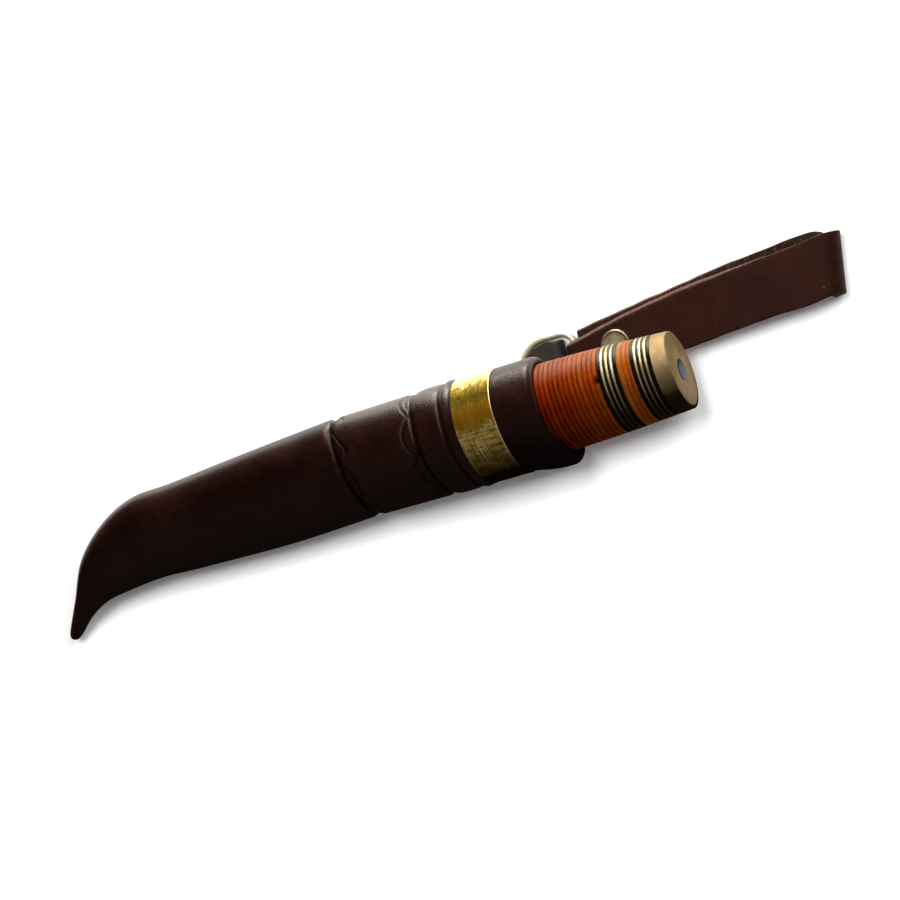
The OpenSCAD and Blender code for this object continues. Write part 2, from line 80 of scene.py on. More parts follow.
# %% Camera
CAMERA_AT = (220.0, 232.6, 486.8)
CAMERA_RIGHT = (0.86665, -0.43566, -0.24313)
CAMERA_FORWARD = (-0.42657, -0.39432, -0.81397)
LENS_MM, SENSOR_MM = 84.0, 36.0
right, forward = (TURN @ np.array(v) for v in (CAMERA_RIGHT, CAMERA_FORWARD))
up = np.cross(right, forward)
lens = bpy.data.cameras.new("photo_lens")
lens.lens = LENS_MM
lens.sensor_width = SENSOR_MM
camera = bpy.data.objects.new("photo_camera", lens)
camera.matrix_world = Matrix.Translation(Vector(from_knife(CAMERA_AT))) @ Matrix(
    np.column_stack([right, up, -forward]).tolist()).to_4x4()
bpy.context.scene.collection.objects.link(camera)
bpy.context.scene.camera = camera
print("camera at", np.round(np.array(camera.location), 3))

# %% [markdown]
# Every shape is a grid of points: rows along the piece and columns around it. One function turns such a
# grid, or a stack of equal grids, into a closed mesh. A row that shrinks to one point closes an end, so
# doubles are merged. The mesh also gets a UV map in millimetres and any marks that a finish needs, such as
# where leather gets a painted highlight.

# %% Grid to mesh
SAME_POINT_M = 1e-7


def make_piece(name, grid, body, stands_for=(), loop=False, uv=None, marks=None, sharp=50.0):
    """Joins point (i, j) to its neighbours (i+1, j) and (i, j+1); columns always close, rows close if loop."""
    grid = np.asarray(grid, float)
    grid = grid if grid.ndim == 4 else grid[None]
    count, rows, cols = grid.shape[:3]
    spans = rows if loop else rows - 1
    k, i, j = np.meshgrid(np.arange(count), np.arange(spans), np.arange(cols), indexing="ij")
    place = lambda a, b: (k * rows + a % rows) * cols + b % cols
    quads = np.stack([place(i, j), place(i, j + 1), place(i + 1, j + 1), place(i + 1, j)], -1).reshape(-1, 4)
    mesh = bpy.data.meshes.new(name)
    mesh.from_pydata(grid.reshape(-1, 3), [], quads.tolist())
    along, around = uv if uv is not None else (np.arange(rows + 1.0), np.arange(cols + 1.0))
    step_i, step_j = np.array([0, 0, 1, 1]), np.array([0, 1, 1, 0])
    corner = np.stack([along[i[..., None] + step_i], around[j[..., None] + step_j]], -1)
    mesh.uv_layers.new(name="wrap").data.foreach_set("uv", corner.astype(np.float32).ravel())
    for mark, values in (marks or {}).items():
        values = np.broadcast_to(values, grid.shape[:3]).astype(np.float32)
        mesh.attributes.new(mark, "FLOAT", "POINT").data.foreach_set("value", values.ravel())
    work = bmesh.new()
    work.from_mesh(mesh)
    bmesh.ops.remove_doubles(work, verts=work.verts, dist=SAME_POINT_M)
    bmesh.ops.recalc_face_normals(work, faces=work.faces)
    work.to_mesh(mesh)
    work.free()
    mesh.polygons.foreach_set("use_smooth", np.ones(len(mesh.polygons), bool))
    mesh.set_sharp_from_angle(angle=np.radians(sharp))
    piece = bpy.data.objects.new(name, mesh)
    bpy.context.scene.collection.objects.link(piece)
    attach(piece, body)
    if stands_for:
        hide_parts(*stands_for)
    print(name, "faces:", len(mesh.polygons))
    return piece


# %% [markdown]
# A filed handle, a formed pocket and a bent band are all ovals along the knife. A few small formulas give
# ovals, soft steps, the side that lies towards the light and the unevenness of handwork. They work on whole
# arrays, so no piece needs a loop over its points.

# %% Ovals and soft steps
LIT_SIDE = np.radians(21)


def circle_of(count):
    """Cosine and sine of equal steps round a circle."""
    t = np.arange(count) * 2 * np.pi / count
    return np.cos(t), np.sin(t)


def downward(count):
    """0 on the side towards the light and 1 on the far side: half of one minus the cosine round the knife."""
    return (1 - np.cos(np.arange(count) * 2 * np.pi / count + LIT_SIDE)) / 2


def oval_rows(x, a, b, count):
    """One ellipse per row at x, of half sizes a along y and b along z."""
    c, s = circle_of(count)
    x, a, b = (np.asarray(v, float)[:, None] for v in (x, a, b))
    return np.stack([x + 0 * c, a * c, b * s], -1)


def shut(row):
    """All points of a row brought to their mean, which closes an end."""
    return row.mean(1, keepdims=True) + 0 * row


def ease(t):
    """0 below 0, 1 above 1, and 3t^2 - 2t^3 between."""
    t = np.clip(t, 0, 1)
    return t * t * (3 - 2 * t)


def ripple(u, v, seed, waves=6):
    """Sum of a few sine waves in two directions, about 1 high: the unevenness of handwork."""
    rng = np.random.default_rng(seed)
    turn, rate, shift = (rng.uniform(*ends, waves) for ends in ((0, 2 * np.pi), (0.5, 1.6), (0, 6)))
    total = sum(np.sin(r * (u * np.cos(t) + v * np.sin(t)) + s) for t, r, s in zip(turn, rate, shift))
    return total / np.sqrt(waves)


# %% [markdown]
# The handle is a stack: a brass bolster, birch bark discs, two sets of black and brass spacers with a
# little bark between them, and a brass butt cap. The whole stack is filed to one swollen oval, so every
# disc asks the same two functions for its half sizes. It could be one lathe shape, but then the layers
# couldn't wear by themselves.

# %% Handle profile
HANDLE_LEN = 104.0
THROAT_X = GRIP_OUT - HANDLE_LEN
SWELL_X = -14.0
OUTER_T, INNER_T, BRASS_T = 1.05, 0.6, 0.82
REAR_T, REAR_DISCS = 1.3, 3
CAP_LEN, BOLSTER_LEN = 4.4, 6.0
SET_LAYERS = np.array([OUTER_T, BRASS_T, INNER_T, BRASS_T, INNER_T, BRASS_T, OUTER_T])
SET_LEN = SET_LAYERS.sum()
CAP_X = GRIP_OUT - CAP_LEN
SET_2_X = CAP_X - SET_LEN
REAR_X = SET_2_X - REAR_DISCS * REAR_T
SET_1_X = REAR_X - SET_LEN
GRIP_X = THROAT_X + BOLSTER_LEN
GRIP_DISCS = 54
GRIP_T = (SET_1_X - GRIP_X) / GRIP_DISCS
# half sizes at the swell, at the butt and at the throat
HALF_HIGH, HALF_THICK = (13.6, 11.45, 11.3), (10.6, 8.8, 7.1)
AROUND = 128
GIRTH = 2 * np.pi * 11.0


def swell(x, most, rear, front):
    """Half size along the handle: most at the swell, falling by the square of the distance to each end."""
    x = np.asarray(x, float)
    back = most - (most - rear) * ((x - SWELL_X) / (GRIP_OUT - SWELL_X)) ** 2
    fore = most - (most - front) * ((x - SWELL_X) / (THROAT_X - SWELL_X)) ** 2
    return np.where(x > SWELL_X, back, fore)


def grip_a(x):
    """Half height along y, by the swell's formula."""
    return swell(x, *HALF_HIGH)


def grip_b(x):
    """Half thickness along z, by the swell's formula."""
    return swell(x, *HALF_THICK)


def closed_stack(x, inset, name, stands_for, marks=None):
    """Oval rows at x, each smaller by inset, with both ends brought to the middle."""
    inset = np.asarray(inset, float).reshape(len(x), -1)
    c, s = circle_of(AROUND)
    a, b = grip_a(x)[:, None] - inset, grip_b(x)[:, None] - inset
    rows = np.stack([x[:, None] + 0 * c, a * c, b * s], -1)
    grid = np.concatenate([rows[:1] * [1, 0, 0], rows, rows[-1:] * [1, 0, 0]])
    along = np.concatenate([[x[0]], x, [x[-1], x[-1]]])
    marks = {"down": downward(AROUND), **(marks or {})}
    return make_piece(name, from_knife(grid), "knife", stands_for,
                      uv=(along, np.linspace(0, GIRTH, AROUND + 1)), marks=marks)


print("grip discs are", round(GRIP_T, 3), "mm thick, a set of spacers is", round(SET_LEN, 2), "mm")

# %% [markdown]
# Birch bark discs wear a little lower at their glued joints, where the hard outer skin of the bark shows as
# a thin dark line. The grip is one long surface with a shallow round crown on each disc, because its discs
# are glued and never part. One disc at the grip's rear end has a small broken place.

# %% Bark
DISC_ROWS = np.array([0.02, 0.09, 0.25, 0.5, 0.75, 0.91, 0.98])
CROWN_FALL, FILE_WAVE = 0.07, 0.02
NICK_X, NICK_TURN = SET_1_X - 0.5, np.radians(52.0)
NICK_LONG, NICK_ROUND, NICK_DEEP = 0.75, 0.95, 0.35
NICK_R = 12


def bark_stack(name, start, discs, thick, node, nicked=False):
    """Seven rows per disc; the crown falls by a sixth power to its two joints, and the nick is a soft pit."""
    x = (start + thick * (np.arange(discs)[:, None] + DISC_ROWS)).ravel()
    fall = np.tile(CROWN_FALL * np.abs(2 * DISC_ROWS - 1) ** 6, discs)
    fall = fall + FILE_WAVE * (1 + ripple(x * 3, 0 * x, 4))
    hurt = np.zeros((len(x), AROUND))
    if nicked:
        angle = np.radians(np.arange(AROUND) * 360 / AROUND)
        far = np.hypot((x[:, None] - NICK_X) / NICK_LONG, (angle - NICK_TURN) * NICK_R / NICK_ROUND)
        hurt = ease(1.6 - far)
    return closed_stack(x, fall[:, None] + NICK_DEEP * hurt, name, [node],
                        {"nick": np.pad(hurt, ((1, 1), (0, 0)))})


bark_grip = bark_stack("bark_grip", GRIP_X, GRIP_DISCS, GRIP_T, "bark_grip_discs", nicked=True)
bark_rear = bark_stack("bark_rear", REAR_X, REAR_DISCS, REAR_T, "bark_rear_discs")

# %% [markdown]
# The spacers are stamped washers filed flush. A washer has a fine rounded rim, and the soft black ones sit
# a hair lower than the brass ones, because the file takes more of them. A brass washer marks its rims as lying
# further from the light than they do, so painted shade darkens its rims more than its middle.

# %% Spacers
RIM_ROWS = np.array([0.0, 0.02, 0.1, 0.5, 0.9, 0.98, 1.0])
RIM_ROUND = 0.05 * np.array([1.0, 0.5, 0.0, 0.0, 0.0, 0.5, 1.0])
AT_RIM = np.array([1.0, 1.0, 1.0, 1.0, 0.0, 1.0, 1.0, 1.0, 1.0])[:, None]
BLACK_SUNK, BRASS_RIM_SHADE = 0.06, 0.5


def washer(kind, number, start, thick, sunk=0.0, rim_shade=0.0):
    """Oval rows at the two rims and the middle, lower by the rounding at the rims and by sunk all over."""
    # brass washers' rims are marked further from the light, so painted shade darkens them
    return closed_stack(start + thick * RIM_ROWS, sunk + RIM_ROUND, f"{kind}_washer_{number}",
                        [f"{kind}_spacer_{number}"], {"down": downward(AROUND) + rim_shade * AT_RIM})


layer_x = np.r_[0, np.cumsum(SET_LAYERS)[:-1]]
black_spacers, brass_spacers = [], []
for set_x in (SET_1_X, SET_2_X):
    for start, thick in zip(set_x + layer_x[0::2], SET_LAYERS[0::2]):
        number = len(black_spacers) + 1
        black_spacers.append(washer("black", number, start, thick, sunk=BLACK_SUNK))
    for start, thick in zip(set_x + layer_x[1::2], SET_LAYERS[1::2]):
        number = len(brass_spacers) + 1
        brass_spacers.append(washer("brass", number, start, thick, rim_shade=BRASS_RIM_SHADE))

# %% [markdown]
# The butt cap is a thick brass plate. Its edge is broken with a file, its end is a shade domed, and the
# tang comes through a round recess where it is hammered over. The end's rows turn from the oval to the
# recess's circle, which saves cutting a hole. Its side is painted darker as shade away from the light, while
# its end gets only a little painted shade, more towards its lower side.

# %% Butt cap
RECESS_R, RECESS_EDGE, PEEN_DEPTH = 3.1, 0.1, 1.2
BREAK, FILED, DOME = 0.28, 0.03, 0.06
FACE_SHADE_FROM, FACE_SHADE = 0.32, 0.12
CAP_ALONG_END, CAP_GIRTH = 40.0, 66.0


def blend_rows(x, a, b, share, radius):
    """Ellipse of half sizes a and b turned by share into a circle of that radius."""
    return oval_rows(x, a + (radius - a) * share, b + (radius - b) * share, AROUND)


side_x = np.r_[CAP_X, CAP_X + 0.08, np.linspace(CAP_X + 1, GRIP_OUT - 1, 3),
               GRIP_OUT - BREAK - 0.1, GRIP_OUT - BREAK]
side_in = np.array([0.1, 0.0, 0.0, 0.0, 0.0, 0.0, FILED])
edge_turn = np.radians([20, 45, 70, 90])
side_x = np.r_[side_x, GRIP_OUT - BREAK + BREAK * np.sin(edge_turn)]
side_in = np.r_[side_in, BREAK * (1 - np.cos(edge_turn)) + FILED]
side = oval_rows(side_x, grip_a(side_x) - side_in, grip_b(side_x) - side_in, AROUND)
end_a, end_b = (float(half(GRIP_OUT)) - BREAK - FILED for half in (grip_a, grip_b))
face_share = np.linspace(0.12, 1.0, 9)
face = blend_rows(GRIP_OUT + DOME * np.sin(np.pi * face_share / 2), end_a, end_b, face_share, RECESS_R)
pit_r = np.array([RECESS_R - RECESS_EDGE, RECESS_R - RECESS_EDGE, 0.0])
pit = oval_rows(GRIP_OUT - np.array([RECESS_EDGE, PEEN_DEPTH, PEEN_DEPTH]), pit_r, pit_r, AROUND)
cap_grid = np.concatenate([side[:1] * [1, 0, 0], side, face, pit])
cap_along = np.r_[0, np.cumsum(np.linalg.norm(np.diff(cap_grid[:, 0], axis=0), axis=1)), CAP_ALONG_END]
cap_down = np.tile(downward(AROUND), (len(cap_grid), 1))
# the end gets only a little painted shade, more on its lower side
cap_down[len(side) + 1:] = FACE_SHADE_FROM + FACE_SHADE * downward(AROUND)
butt_cap = make_piece("butt_plate", from_knife(cap_grid), "knife", ["butt_cap"],
                      uv=(cap_along, np.linspace(0, CAP_GIRTH, AROUND + 1)), marks={"down": cap_down}, sharp=35)

# %% [markdown]
# The bolster at the blade's end of the handle is the same brass, filed with the stack, so it is one more
# closed stack of ovals. Its front edge is rounded more, because it leads the way into the sheath.

# %% Front bolster
bolster_x = THROAT_X + np.array([0.0, 0.06, 0.2, 0.5, 2.0, 4.0, 5.8, 5.95, 6.0])
bolster_in = np.array([0.5, 0.3, 0.12, 0.0, 0.0, 0.0, 0.0, 0.03, 0.1])
bolster = closed_stack(bolster_x, bolster_in, "brass_bolster", ["front_bolster"])

# %% [markdown]
# The blade is a plain carbon steel blank with a flat bevel ground down to the edge. It only shows when the
# knife is drawn. Its section has eight corners that are carried from the point to the throat: the belly's
# curve is a quarter of an ellipse, and sharp edges between the flats come from the mesh's own angle.

# %% Blade
BLADE_LEN, BLADE_H, BLADE_T, BEVEL_H, BELLY = 94.5, 18.0, 4.0, 8.0, 38.0
POINT_T, BEVEL_PART = 1.4, 0.55
SPINE_BREAK, EDGE_BACK, EDGE_HALF = 0.25, 0.03, 0.07
POINT_X = THROAT_X - BLADE_LEN
SPINE_Y = -BLADE_H / 2
steps = np.radians(np.linspace(3, 90, 40))
blade_x = np.r_[POINT_X + BELLY * (1 - np.cos(steps)), np.linspace(POINT_X + BELLY + 3, THROAT_X - 0.02, 20)]
reach = np.clip((POINT_X + BELLY - blade_x) / BELLY, 0, 1)
high = BLADE_H * np.sqrt(1 - reach ** 2)
half = (POINT_T + (BLADE_T - POINT_T) * np.sqrt(np.clip((blade_x - POINT_X) / BELLY, 0, 1))) / 2
none = 0 * high
shoulder_y = high - np.minimum(BEVEL_H, BEVEL_PART * high)
one_side_y = [none, none + SPINE_BREAK, shoulder_y, high - EDGE_BACK]
one_side_z = [half - SPINE_BREAK, half, half, none + EDGE_HALF]
section_y = np.stack(one_side_y + one_side_y[::-1], 1) + SPINE_Y
section_z = np.stack(one_side_z + [-z for z in one_side_z[::-1]], 1)
blade_grid = np.stack([blade_x[:, None] + 0 * section_y, section_y, section_z], -1)
blade_grid = np.concatenate([shut(blade_grid[:1]), blade_grid, shut(blade_grid[-1:])])
blade = make_piece("blade_blank", from_knife(blade_grid), "knife", ["blade"], sharp=12)

# %% [markdown]
# The tang is the rest of the same blank and runs through the whole handle. Its end is hammered over in the
# cap's recess, which makes a low, slightly uneven button. Both are profiles carried along x.

# %% Tang and its hammered end
TANG_H, PEEN_COLS = 5.8, 48
tang_x = np.array([THROAT_X, THROAT_X, GRIP_OUT - PEEN_DEPTH, GRIP_OUT - PEEN_DEPTH])
tang_size = np.array([0.0, 1.0, 1.0, 0.0])[:, None]
tang_y = tang_size * TANG_H / 2 * np.array([-1, 1, 1, -1])
tang_z = tang_size * BLADE_T / 2 * np.array([-1, -1, 1, 1])
tang = make_piece("tang", from_knife(np.stack([tang_x[:, None] + 0 * tang_y, tang_y, tang_z], -1)),
                  "knife", ["blade"])
c, s = circle_of(PEEN_COLS)
wobble = 1 + 0.035 * np.cos(2 * np.arctan2(s, c) + 0.6) + 0.02 * np.cos(5 * np.arctan2(s, c))
peen_r = np.array([0.0, 2.8, 2.95, 2.9, 2.7, 2.1, 1.1, 0.0])[:, None]
peen_x = GRIP_OUT + np.array([-PEEN_DEPTH, -PEEN_DEPTH, -0.4, 0.0, 0.13, 0.2, 0.24, 0.25])[:, None]
peen_grid = np.stack([peen_x + 0 * c, peen_r * c * wobble, peen_r * s * wobble], -1)
peen = make_piece("tang_end", from_knife(peen_grid), "knife", ["blade"])

# %% [markdown]
# The sheath is one piece of wet leather pressed round the handle and a wooden liner. Its outline is given
# by a few rows, each with an edge point, a spine point, a half thickness and a roundness, joined by a
# smooth curve. The pocket near the mouth follows the handle instead. Sculpting would give the same form,
# but rows can be measured.

# %% Sheath outline
HALF_POCKET = 13.95
LEATHER_T = 1.9
THROAT_A = 16.3
HANDLE_GAP = 0.35


def pocket_b(x):
    """Half thickness of the room for the handle: full behind the swell, following the handle in front of it."""
    return HANDLE_GAP + np.where(np.asarray(x) > SWELL_X, HALF_THICK[0], grip_b(x))


def pocket_out(x):
    """Outer half sizes of the pocket: y grows evenly to the throat, z follows the handle."""
    outer_a = HALF_POCKET + LEATHER_T
    return outer_a + (THROAT_A - outer_a) * np.asarray(x, float) / THROAT_X, pocket_b(x) + LEATHER_T


THROAT_B = float(pocket_b(THROAT_X) + LEATHER_T)
OUTLINE = np.array([
    # edge x, edge y, spine x, spine y, half thickness, roundness
    [THROAT_X, THROAT_A, THROAT_X, -THROAT_A, THROAT_B, 2.1],
    [THROAT_X - 0.3 * BLADE_LEN, 14.6, THROAT_X - 0.31 * BLADE_LEN, -17.4, THROAT_B - 1.6, 2.3],
    [THROAT_X - 0.62 * BLADE_LEN, 12.3, THROAT_X - 0.65 * BLADE_LEN, -16.8, 6.6, 2.5],
    [THROAT_X - 0.79 * BLADE_LEN, 11.5, THROAT_X - 0.81 * BLADE_LEN, -16.3, 5.8, 2.6],
    [THROAT_X - 0.936 * BLADE_LEN, 6.4, THROAT_X - 0.958 * BLADE_LEN, -17.5, 5.3, 2.6],
    [POINT_X - 7, -2.7, POINT_X - 6.5, -19.2, 4.7, 2.5],
    [POINT_X - 17, -14.8, POINT_X - 15.5, -23.2, 3.9, 2.3],
    [POINT_X - 25.4, -24.8, POINT_X - 22.4, -28.0, 3.2, 2.0],
    [POINT_X - 26.9, -27.6, POINT_X - 24.4, -29.2, 2.3, 2.6]])


def curve_through(rows, t):
    """Smooth curve through the rows at t from 0 to the last row: each span is a cubic set by its four rows."""
    last = len(rows) - 1
    i = np.clip(np.floor(t).astype(int), 0, last - 1)
    f = (t - i)[:, None]
    p, q, r, s = (rows[np.clip(i + k, 0, last)] for k in (-1, 0, 1, 2))
    return (2 * q + (r - p) * f + (2 * p - 5 * q + 4 * r - s) * f ** 2 + (3 * q - p - 3 * r + s) * f ** 3) / 2


def sheath_rows(rows, angle):
    """Squared oval on each row's edge and spine points: the power of cosine and sine sets the roundness."""
    power = 2 / rows[:, 5:6]
    c = np.sign(np.cos(angle)) * np.abs(np.cos(angle)) ** power
    s = np.sign(np.sin(angle)) * np.abs(np.sin(angle)) ** power
    mid, arm = (rows[:, 0:2] + rows[:, 2:4]) / 2, (rows[:, 0:2] - rows[:, 2:4]) / 2
    xy = mid[:, None] + arm[:, None] * c[..., None]
    return np.concatenate([xy, (rows[:, 4:5] * s)[..., None]], -1)


print("the sheath is", round(-OUTLINE[-1, 0], 1), "mm long from its mouth to its hooked tip")

# %% [markdown]
# While the leather was wet, its maker pressed three creases round the pocket and tooled a row of eight
# scallops beside two of them. Bump in a finish would look flat from the side, so these are real grooves: a
# field over the surface says how deep each point is pressed in, how dark it is painted, partly as shade in the
# grooves, and where the ridges beside them take a painted highlight.

# %% Creases and scallops
CREASE_1, CREASE_2, CREASE_3 = -64.8, -37.8, -28.5
SCALLOPS, SCALLOP_DEEP = 8, 3.1
LINE_OFF, LINE_DEEP, LINE_WIDE = 0.5, 0.5, 0.4
PAD_DEEP, PAD_OFF, PAD_WIDE = 0.35, 1.4, 1.8
CUSP_DEEP, CUSP_OFF, CUSP_LONG, CUSP_WIDE = 0.6, 0.8, 0.9, 0.2
RIDGE_HIGH, RIDGE_OFF, RIDGE_WIDE = 0.14, 0.6, 0.18


def groove(distance, width):
    """A soft V: 1 at the line, with rounded shoulders that end at about twice the width."""
    return np.exp(-(np.abs(distance) / width) ** 1.4)


def pressed(x, turn):
    """Depth of the tooling in millimetres, its dark mark, partly painted shade in the grooves, and the mark of
    the raised ridges beside it, which take a painted highlight, from 0 to 1.

    A scallop line stands off its crease by arches, the sine's size to a power, that meet the crease in points.
    """
    sway = 0.3 * np.sin(3 * turn) + 0.2 * np.sin(7 * turn + 1)
    first, second, third = x - CREASE_1 - 0.5 * sway, x - CREASE_2 - 0.7 * sway, x - CREASE_3 - 0.4 * sway
    creases = 1.1 * groove(first - 0.2, 0.7) + 1.05 * groove(second, 0.7) + 0.8 * groove(third, 0.6)
    ridges = groove(first + 0.6, 0.16) + groove(second + 0.95, RIDGE_WIDE) + groove(third + 0.85, RIDGE_WIDE)
    depth, mark = creases, 0.95 * np.clip(creases, 0, 1) ** 1.2
    uneven = 1 + 0.2 * np.sin(5 * turn + 2)
    shift_1, shift_2 = 0.42 + 0.06 * np.sin(6 * turn), 0.29 + 0.05 * np.sin(7 * turn + 2)
    for crease, side, shift, wear_and_highlight in ((first, 1, shift_1, 0.4), (second, -1, shift_2, 0.7)):
        wave = np.sin(turn * SCALLOPS / 2 + np.pi * shift)
        lobe = crease - side * (LINE_OFF + uneven * SCALLOP_DEEP * np.abs(wave) ** 0.75)
        pad = ease(1 - np.abs(lobe + side * PAD_OFF) / PAD_WIDE) * (side * lobe < 0)
        cusp = groove(crease - side * CUSP_OFF, CUSP_LONG) * groove(wave, CUSP_WIDE)
        depth = depth + LINE_DEEP * groove(lobe, LINE_WIDE) + PAD_DEEP * pad + CUSP_DEEP * cusp
        mark = mark + 0.8 * groove(lobe, 0.42) + cusp
        ridges = ridges + wear_and_highlight * groove(lobe + RIDGE_OFF, RIDGE_WIDE)
    ridges = np.clip(ridges, 0, 1)
    return depth - RIDGE_HIGH * ridges, np.clip(mark - ridges, 0, 1), ridges


# %% [markdown]
# The outer skin runs from the hooked tip along the blade's part and the pocket to the mouth. The band sits
# in a shallow seat, the leather bulges a little between the creases, and the lower side of the mouth has
# been stretched outwards by drawing the knife. All of this only adds to the depth that a point is pressed
# in.

# %% Sheath outside
BAND_X0, BAND_X1 = -24.9, -12.5
SEAT, SEAT_RAMP = 0.46, 0.25
BULGE, SOFT_BULGE, FLARE = 0.45, 0.25, 1.4
SKIN_COLS, BLADE_ROWS = 192, 150
LIP_START_X = -1.75
angle = np.arange(SKIN_COLS) * 2 * np.pi / SKIN_COLS
lower = downward(SKIN_COLS)
blade_part = sheath_rows(curve_through(OUTLINE, np.linspace(8, 0, BLADE_ROWS)[:-1]), angle)
pocket_x = np.r_[np.arange(THROAT_X, BAND_X0 - 0.35, 0.2), BAND_X0 - 0.3, BAND_X0 - 0.15,
                 np.linspace(BAND_X0, BAND_X1, 6), BAND_X1 + 0.15, np.linspace(BAND_X1 + 0.3, LIP_START_X, 24)]
depth, mark, ridge = pressed(pocket_x[:, None], angle[None])
on_seat = ease((pocket_x - BAND_X0 + 0.3) / SEAT_RAMP) * ease((BAND_X1 + 0.3 - pocket_x) / SEAT_RAMP)
bulge = BULGE * np.sin(np.pi * np.clip((pocket_x - CREASE_3) / (BAND_X0 - CREASE_3), 0, 1))
soft_bulge = SOFT_BULGE * np.sin(np.pi * np.clip((pocket_x - CREASE_2) / (CREASE_3 - CREASE_2), 0, 1))
flare = FLARE * ease((pocket_x - BAND_X1 - 0.3) / 9)[:, None] * ease((lower - 0.55) / 0.4)
depth = depth + (SEAT * on_seat - bulge - soft_bulge)[:, None] - flare
out_a, out_b = pocket_out(pocket_x)
pocket_grid = np.stack([pocket_x[:, None] + 0 * angle, (out_a[:, None] - depth) * np.cos(angle),
                        (out_b[:, None] - depth) * np.sin(angle)], -1)
print("deepest tooling", round(float(depth.max()), 2), "mm on", len(pocket_x), "rows of the pocket")

# %% [markdown]
# At the mouth the leather turns over a rounded lip to its flesh side, which lines the room for the handle
# and then the narrower room for the liner. Carrying the same grid on to the inside gives real thickness
# without a modifier.

# %% Sheath mouth and inside
LIP_R, LIP_IN = 1.7, 0.25
LIP_OUT, LIP_REACH = 2.2, 9
rim_turn = np.radians(np.linspace(8, 90, 7))
rim_x = np.r_[-LIP_R + LIP_R * np.sin(rim_turn), -0.04, -0.25]
rim_in = np.r_[LIP_R * (1 - np.cos(rim_turn)), LEATHER_T + LIP_IN - 0.15, LEATHER_T + LIP_IN]
rim_flare = flare[-1:] * (1 - rim_in / rim_in[-1])[:, None]
mouth_a, mouth_b = pocket_out(np.zeros(len(rim_x)))
rim = np.stack([rim_x[:, None] + 0 * angle, ((mouth_a - rim_in)[:, None] + rim_flare) * np.cos(angle),
                ((mouth_b - rim_in)[:, None] + rim_flare) * np.sin(angle)], -1)
inside_x = np.linspace(-1.5, THROAT_X, 16)
inside = oval_rows(inside_x, HALF_POCKET + 0 * inside_x, pocket_b(inside_x), SKIN_COLS)
room_rows = curve_through(OUTLINE, np.linspace(0.15, 4.8, 24))
arm = room_rows[:, 0:2] - room_rows[:, 2:4]
arm = LEATHER_T * arm / np.linalg.norm(arm, axis=1, keepdims=True)
room_rows[:, 0:2] -= arm
room_rows[:, 2:4] += arm
room_rows[:, 4] -= LEATHER_T
room = sheath_rows(room_rows, angle)
skin = np.concatenate([shut(blade_part[:1]), blade_part, pocket_grid, rim, inside, room, shut(room[-1:])])
pocket_row = 1 + len(blade_part)
rim_row = pocket_row + len(pocket_grid)
inside_row = rim_row + len(rim)
skin_x = skin[pocket_row:, :, 0]
stretch = LIP_OUT * ease((skin_x + LIP_REACH) / LIP_REACH) * ease((lower - 0.6) / 0.4)
skin[pocket_row:, :, 0] = skin_x + stretch
skin[1:pocket_row, :, 2] += 0.12 * ripple(blade_part[..., 0] / 7, blade_part[..., 1] / 7, 8)
print("rows of the tip, pocket, lip and inside:", pocket_row, len(pocket_grid), len(rim), len(skin) - inside_row)

# %% [markdown]
# Tooled lines are nearly black, partly the pressed leather's own darker colour and partly painted shade in the
# grooves. The ridges beside them, the lip and the pocket's upper side get a painted highlight on the lit side,
# and the lower side of the mouth gets painted shade. Each of these is a mark from 0 to 1 on the points, which
# the finish reads as an attribute, so it follows the tooling.

# %% Sheath marks
SKIN_GIRTH = 90
# painted highlight on the lit side of the ridges, the lip and the pocket's upper side
lit_side_highlight = ease((0.62 - lower) / 0.35)
# painted shade on the mouth's lower side, away from the light
painted_mouth_shade = 0.7 * ease((lower - 0.45) / 0.35)
highlight_span = ease((pocket_x - CREASE_1 - 1) / 6) * ease((BAND_X0 - pocket_x) / 2)
tooled_and_shade, painted_highlight, inner = (np.zeros(skin.shape[:2]) for _ in range(3))
tooled_and_shade[pocket_row:rim_row] = np.maximum(mark, (pocket_x[:, None] > BAND_X1) * painted_mouth_shade)
tooled_and_shade[rim_row:inside_row] = painted_mouth_shade
painted_highlight[pocket_row:rim_row] = np.maximum(ridge * lit_side_highlight, highlight_span[:, None] * ease((0.13 - lower) / 0.13))
painted_highlight[rim_row + 4:inside_row] = np.array([0.15, 0.6, 1.0, 1.0, 1.0])[:, None] * lit_side_highlight
inner[inside_row:] = 1.0
sheath = make_piece("sheath_skin", from_knife(skin), "sheath", ["sheath_leather"],
                    uv=(np.r_[skin[..., 0].mean(1), 0.0], np.linspace(0, SKIN_GIRTH, SKIN_COLS + 1)),
                    marks={"tooled_and_shade": tooled_and_shade, "painted_highlight": painted_highlight, "flesh": inner, "down": lower}, sharp=80)

# %% [markdown]
# The band is a strip of sheet brass bent round the pocket and soldered. Its two edges are rounded by
# rubbing, and the strip isn't quite even, which makes its reflections break up. A plain oval tube would
# shine too evenly, so its outer side has low dents.

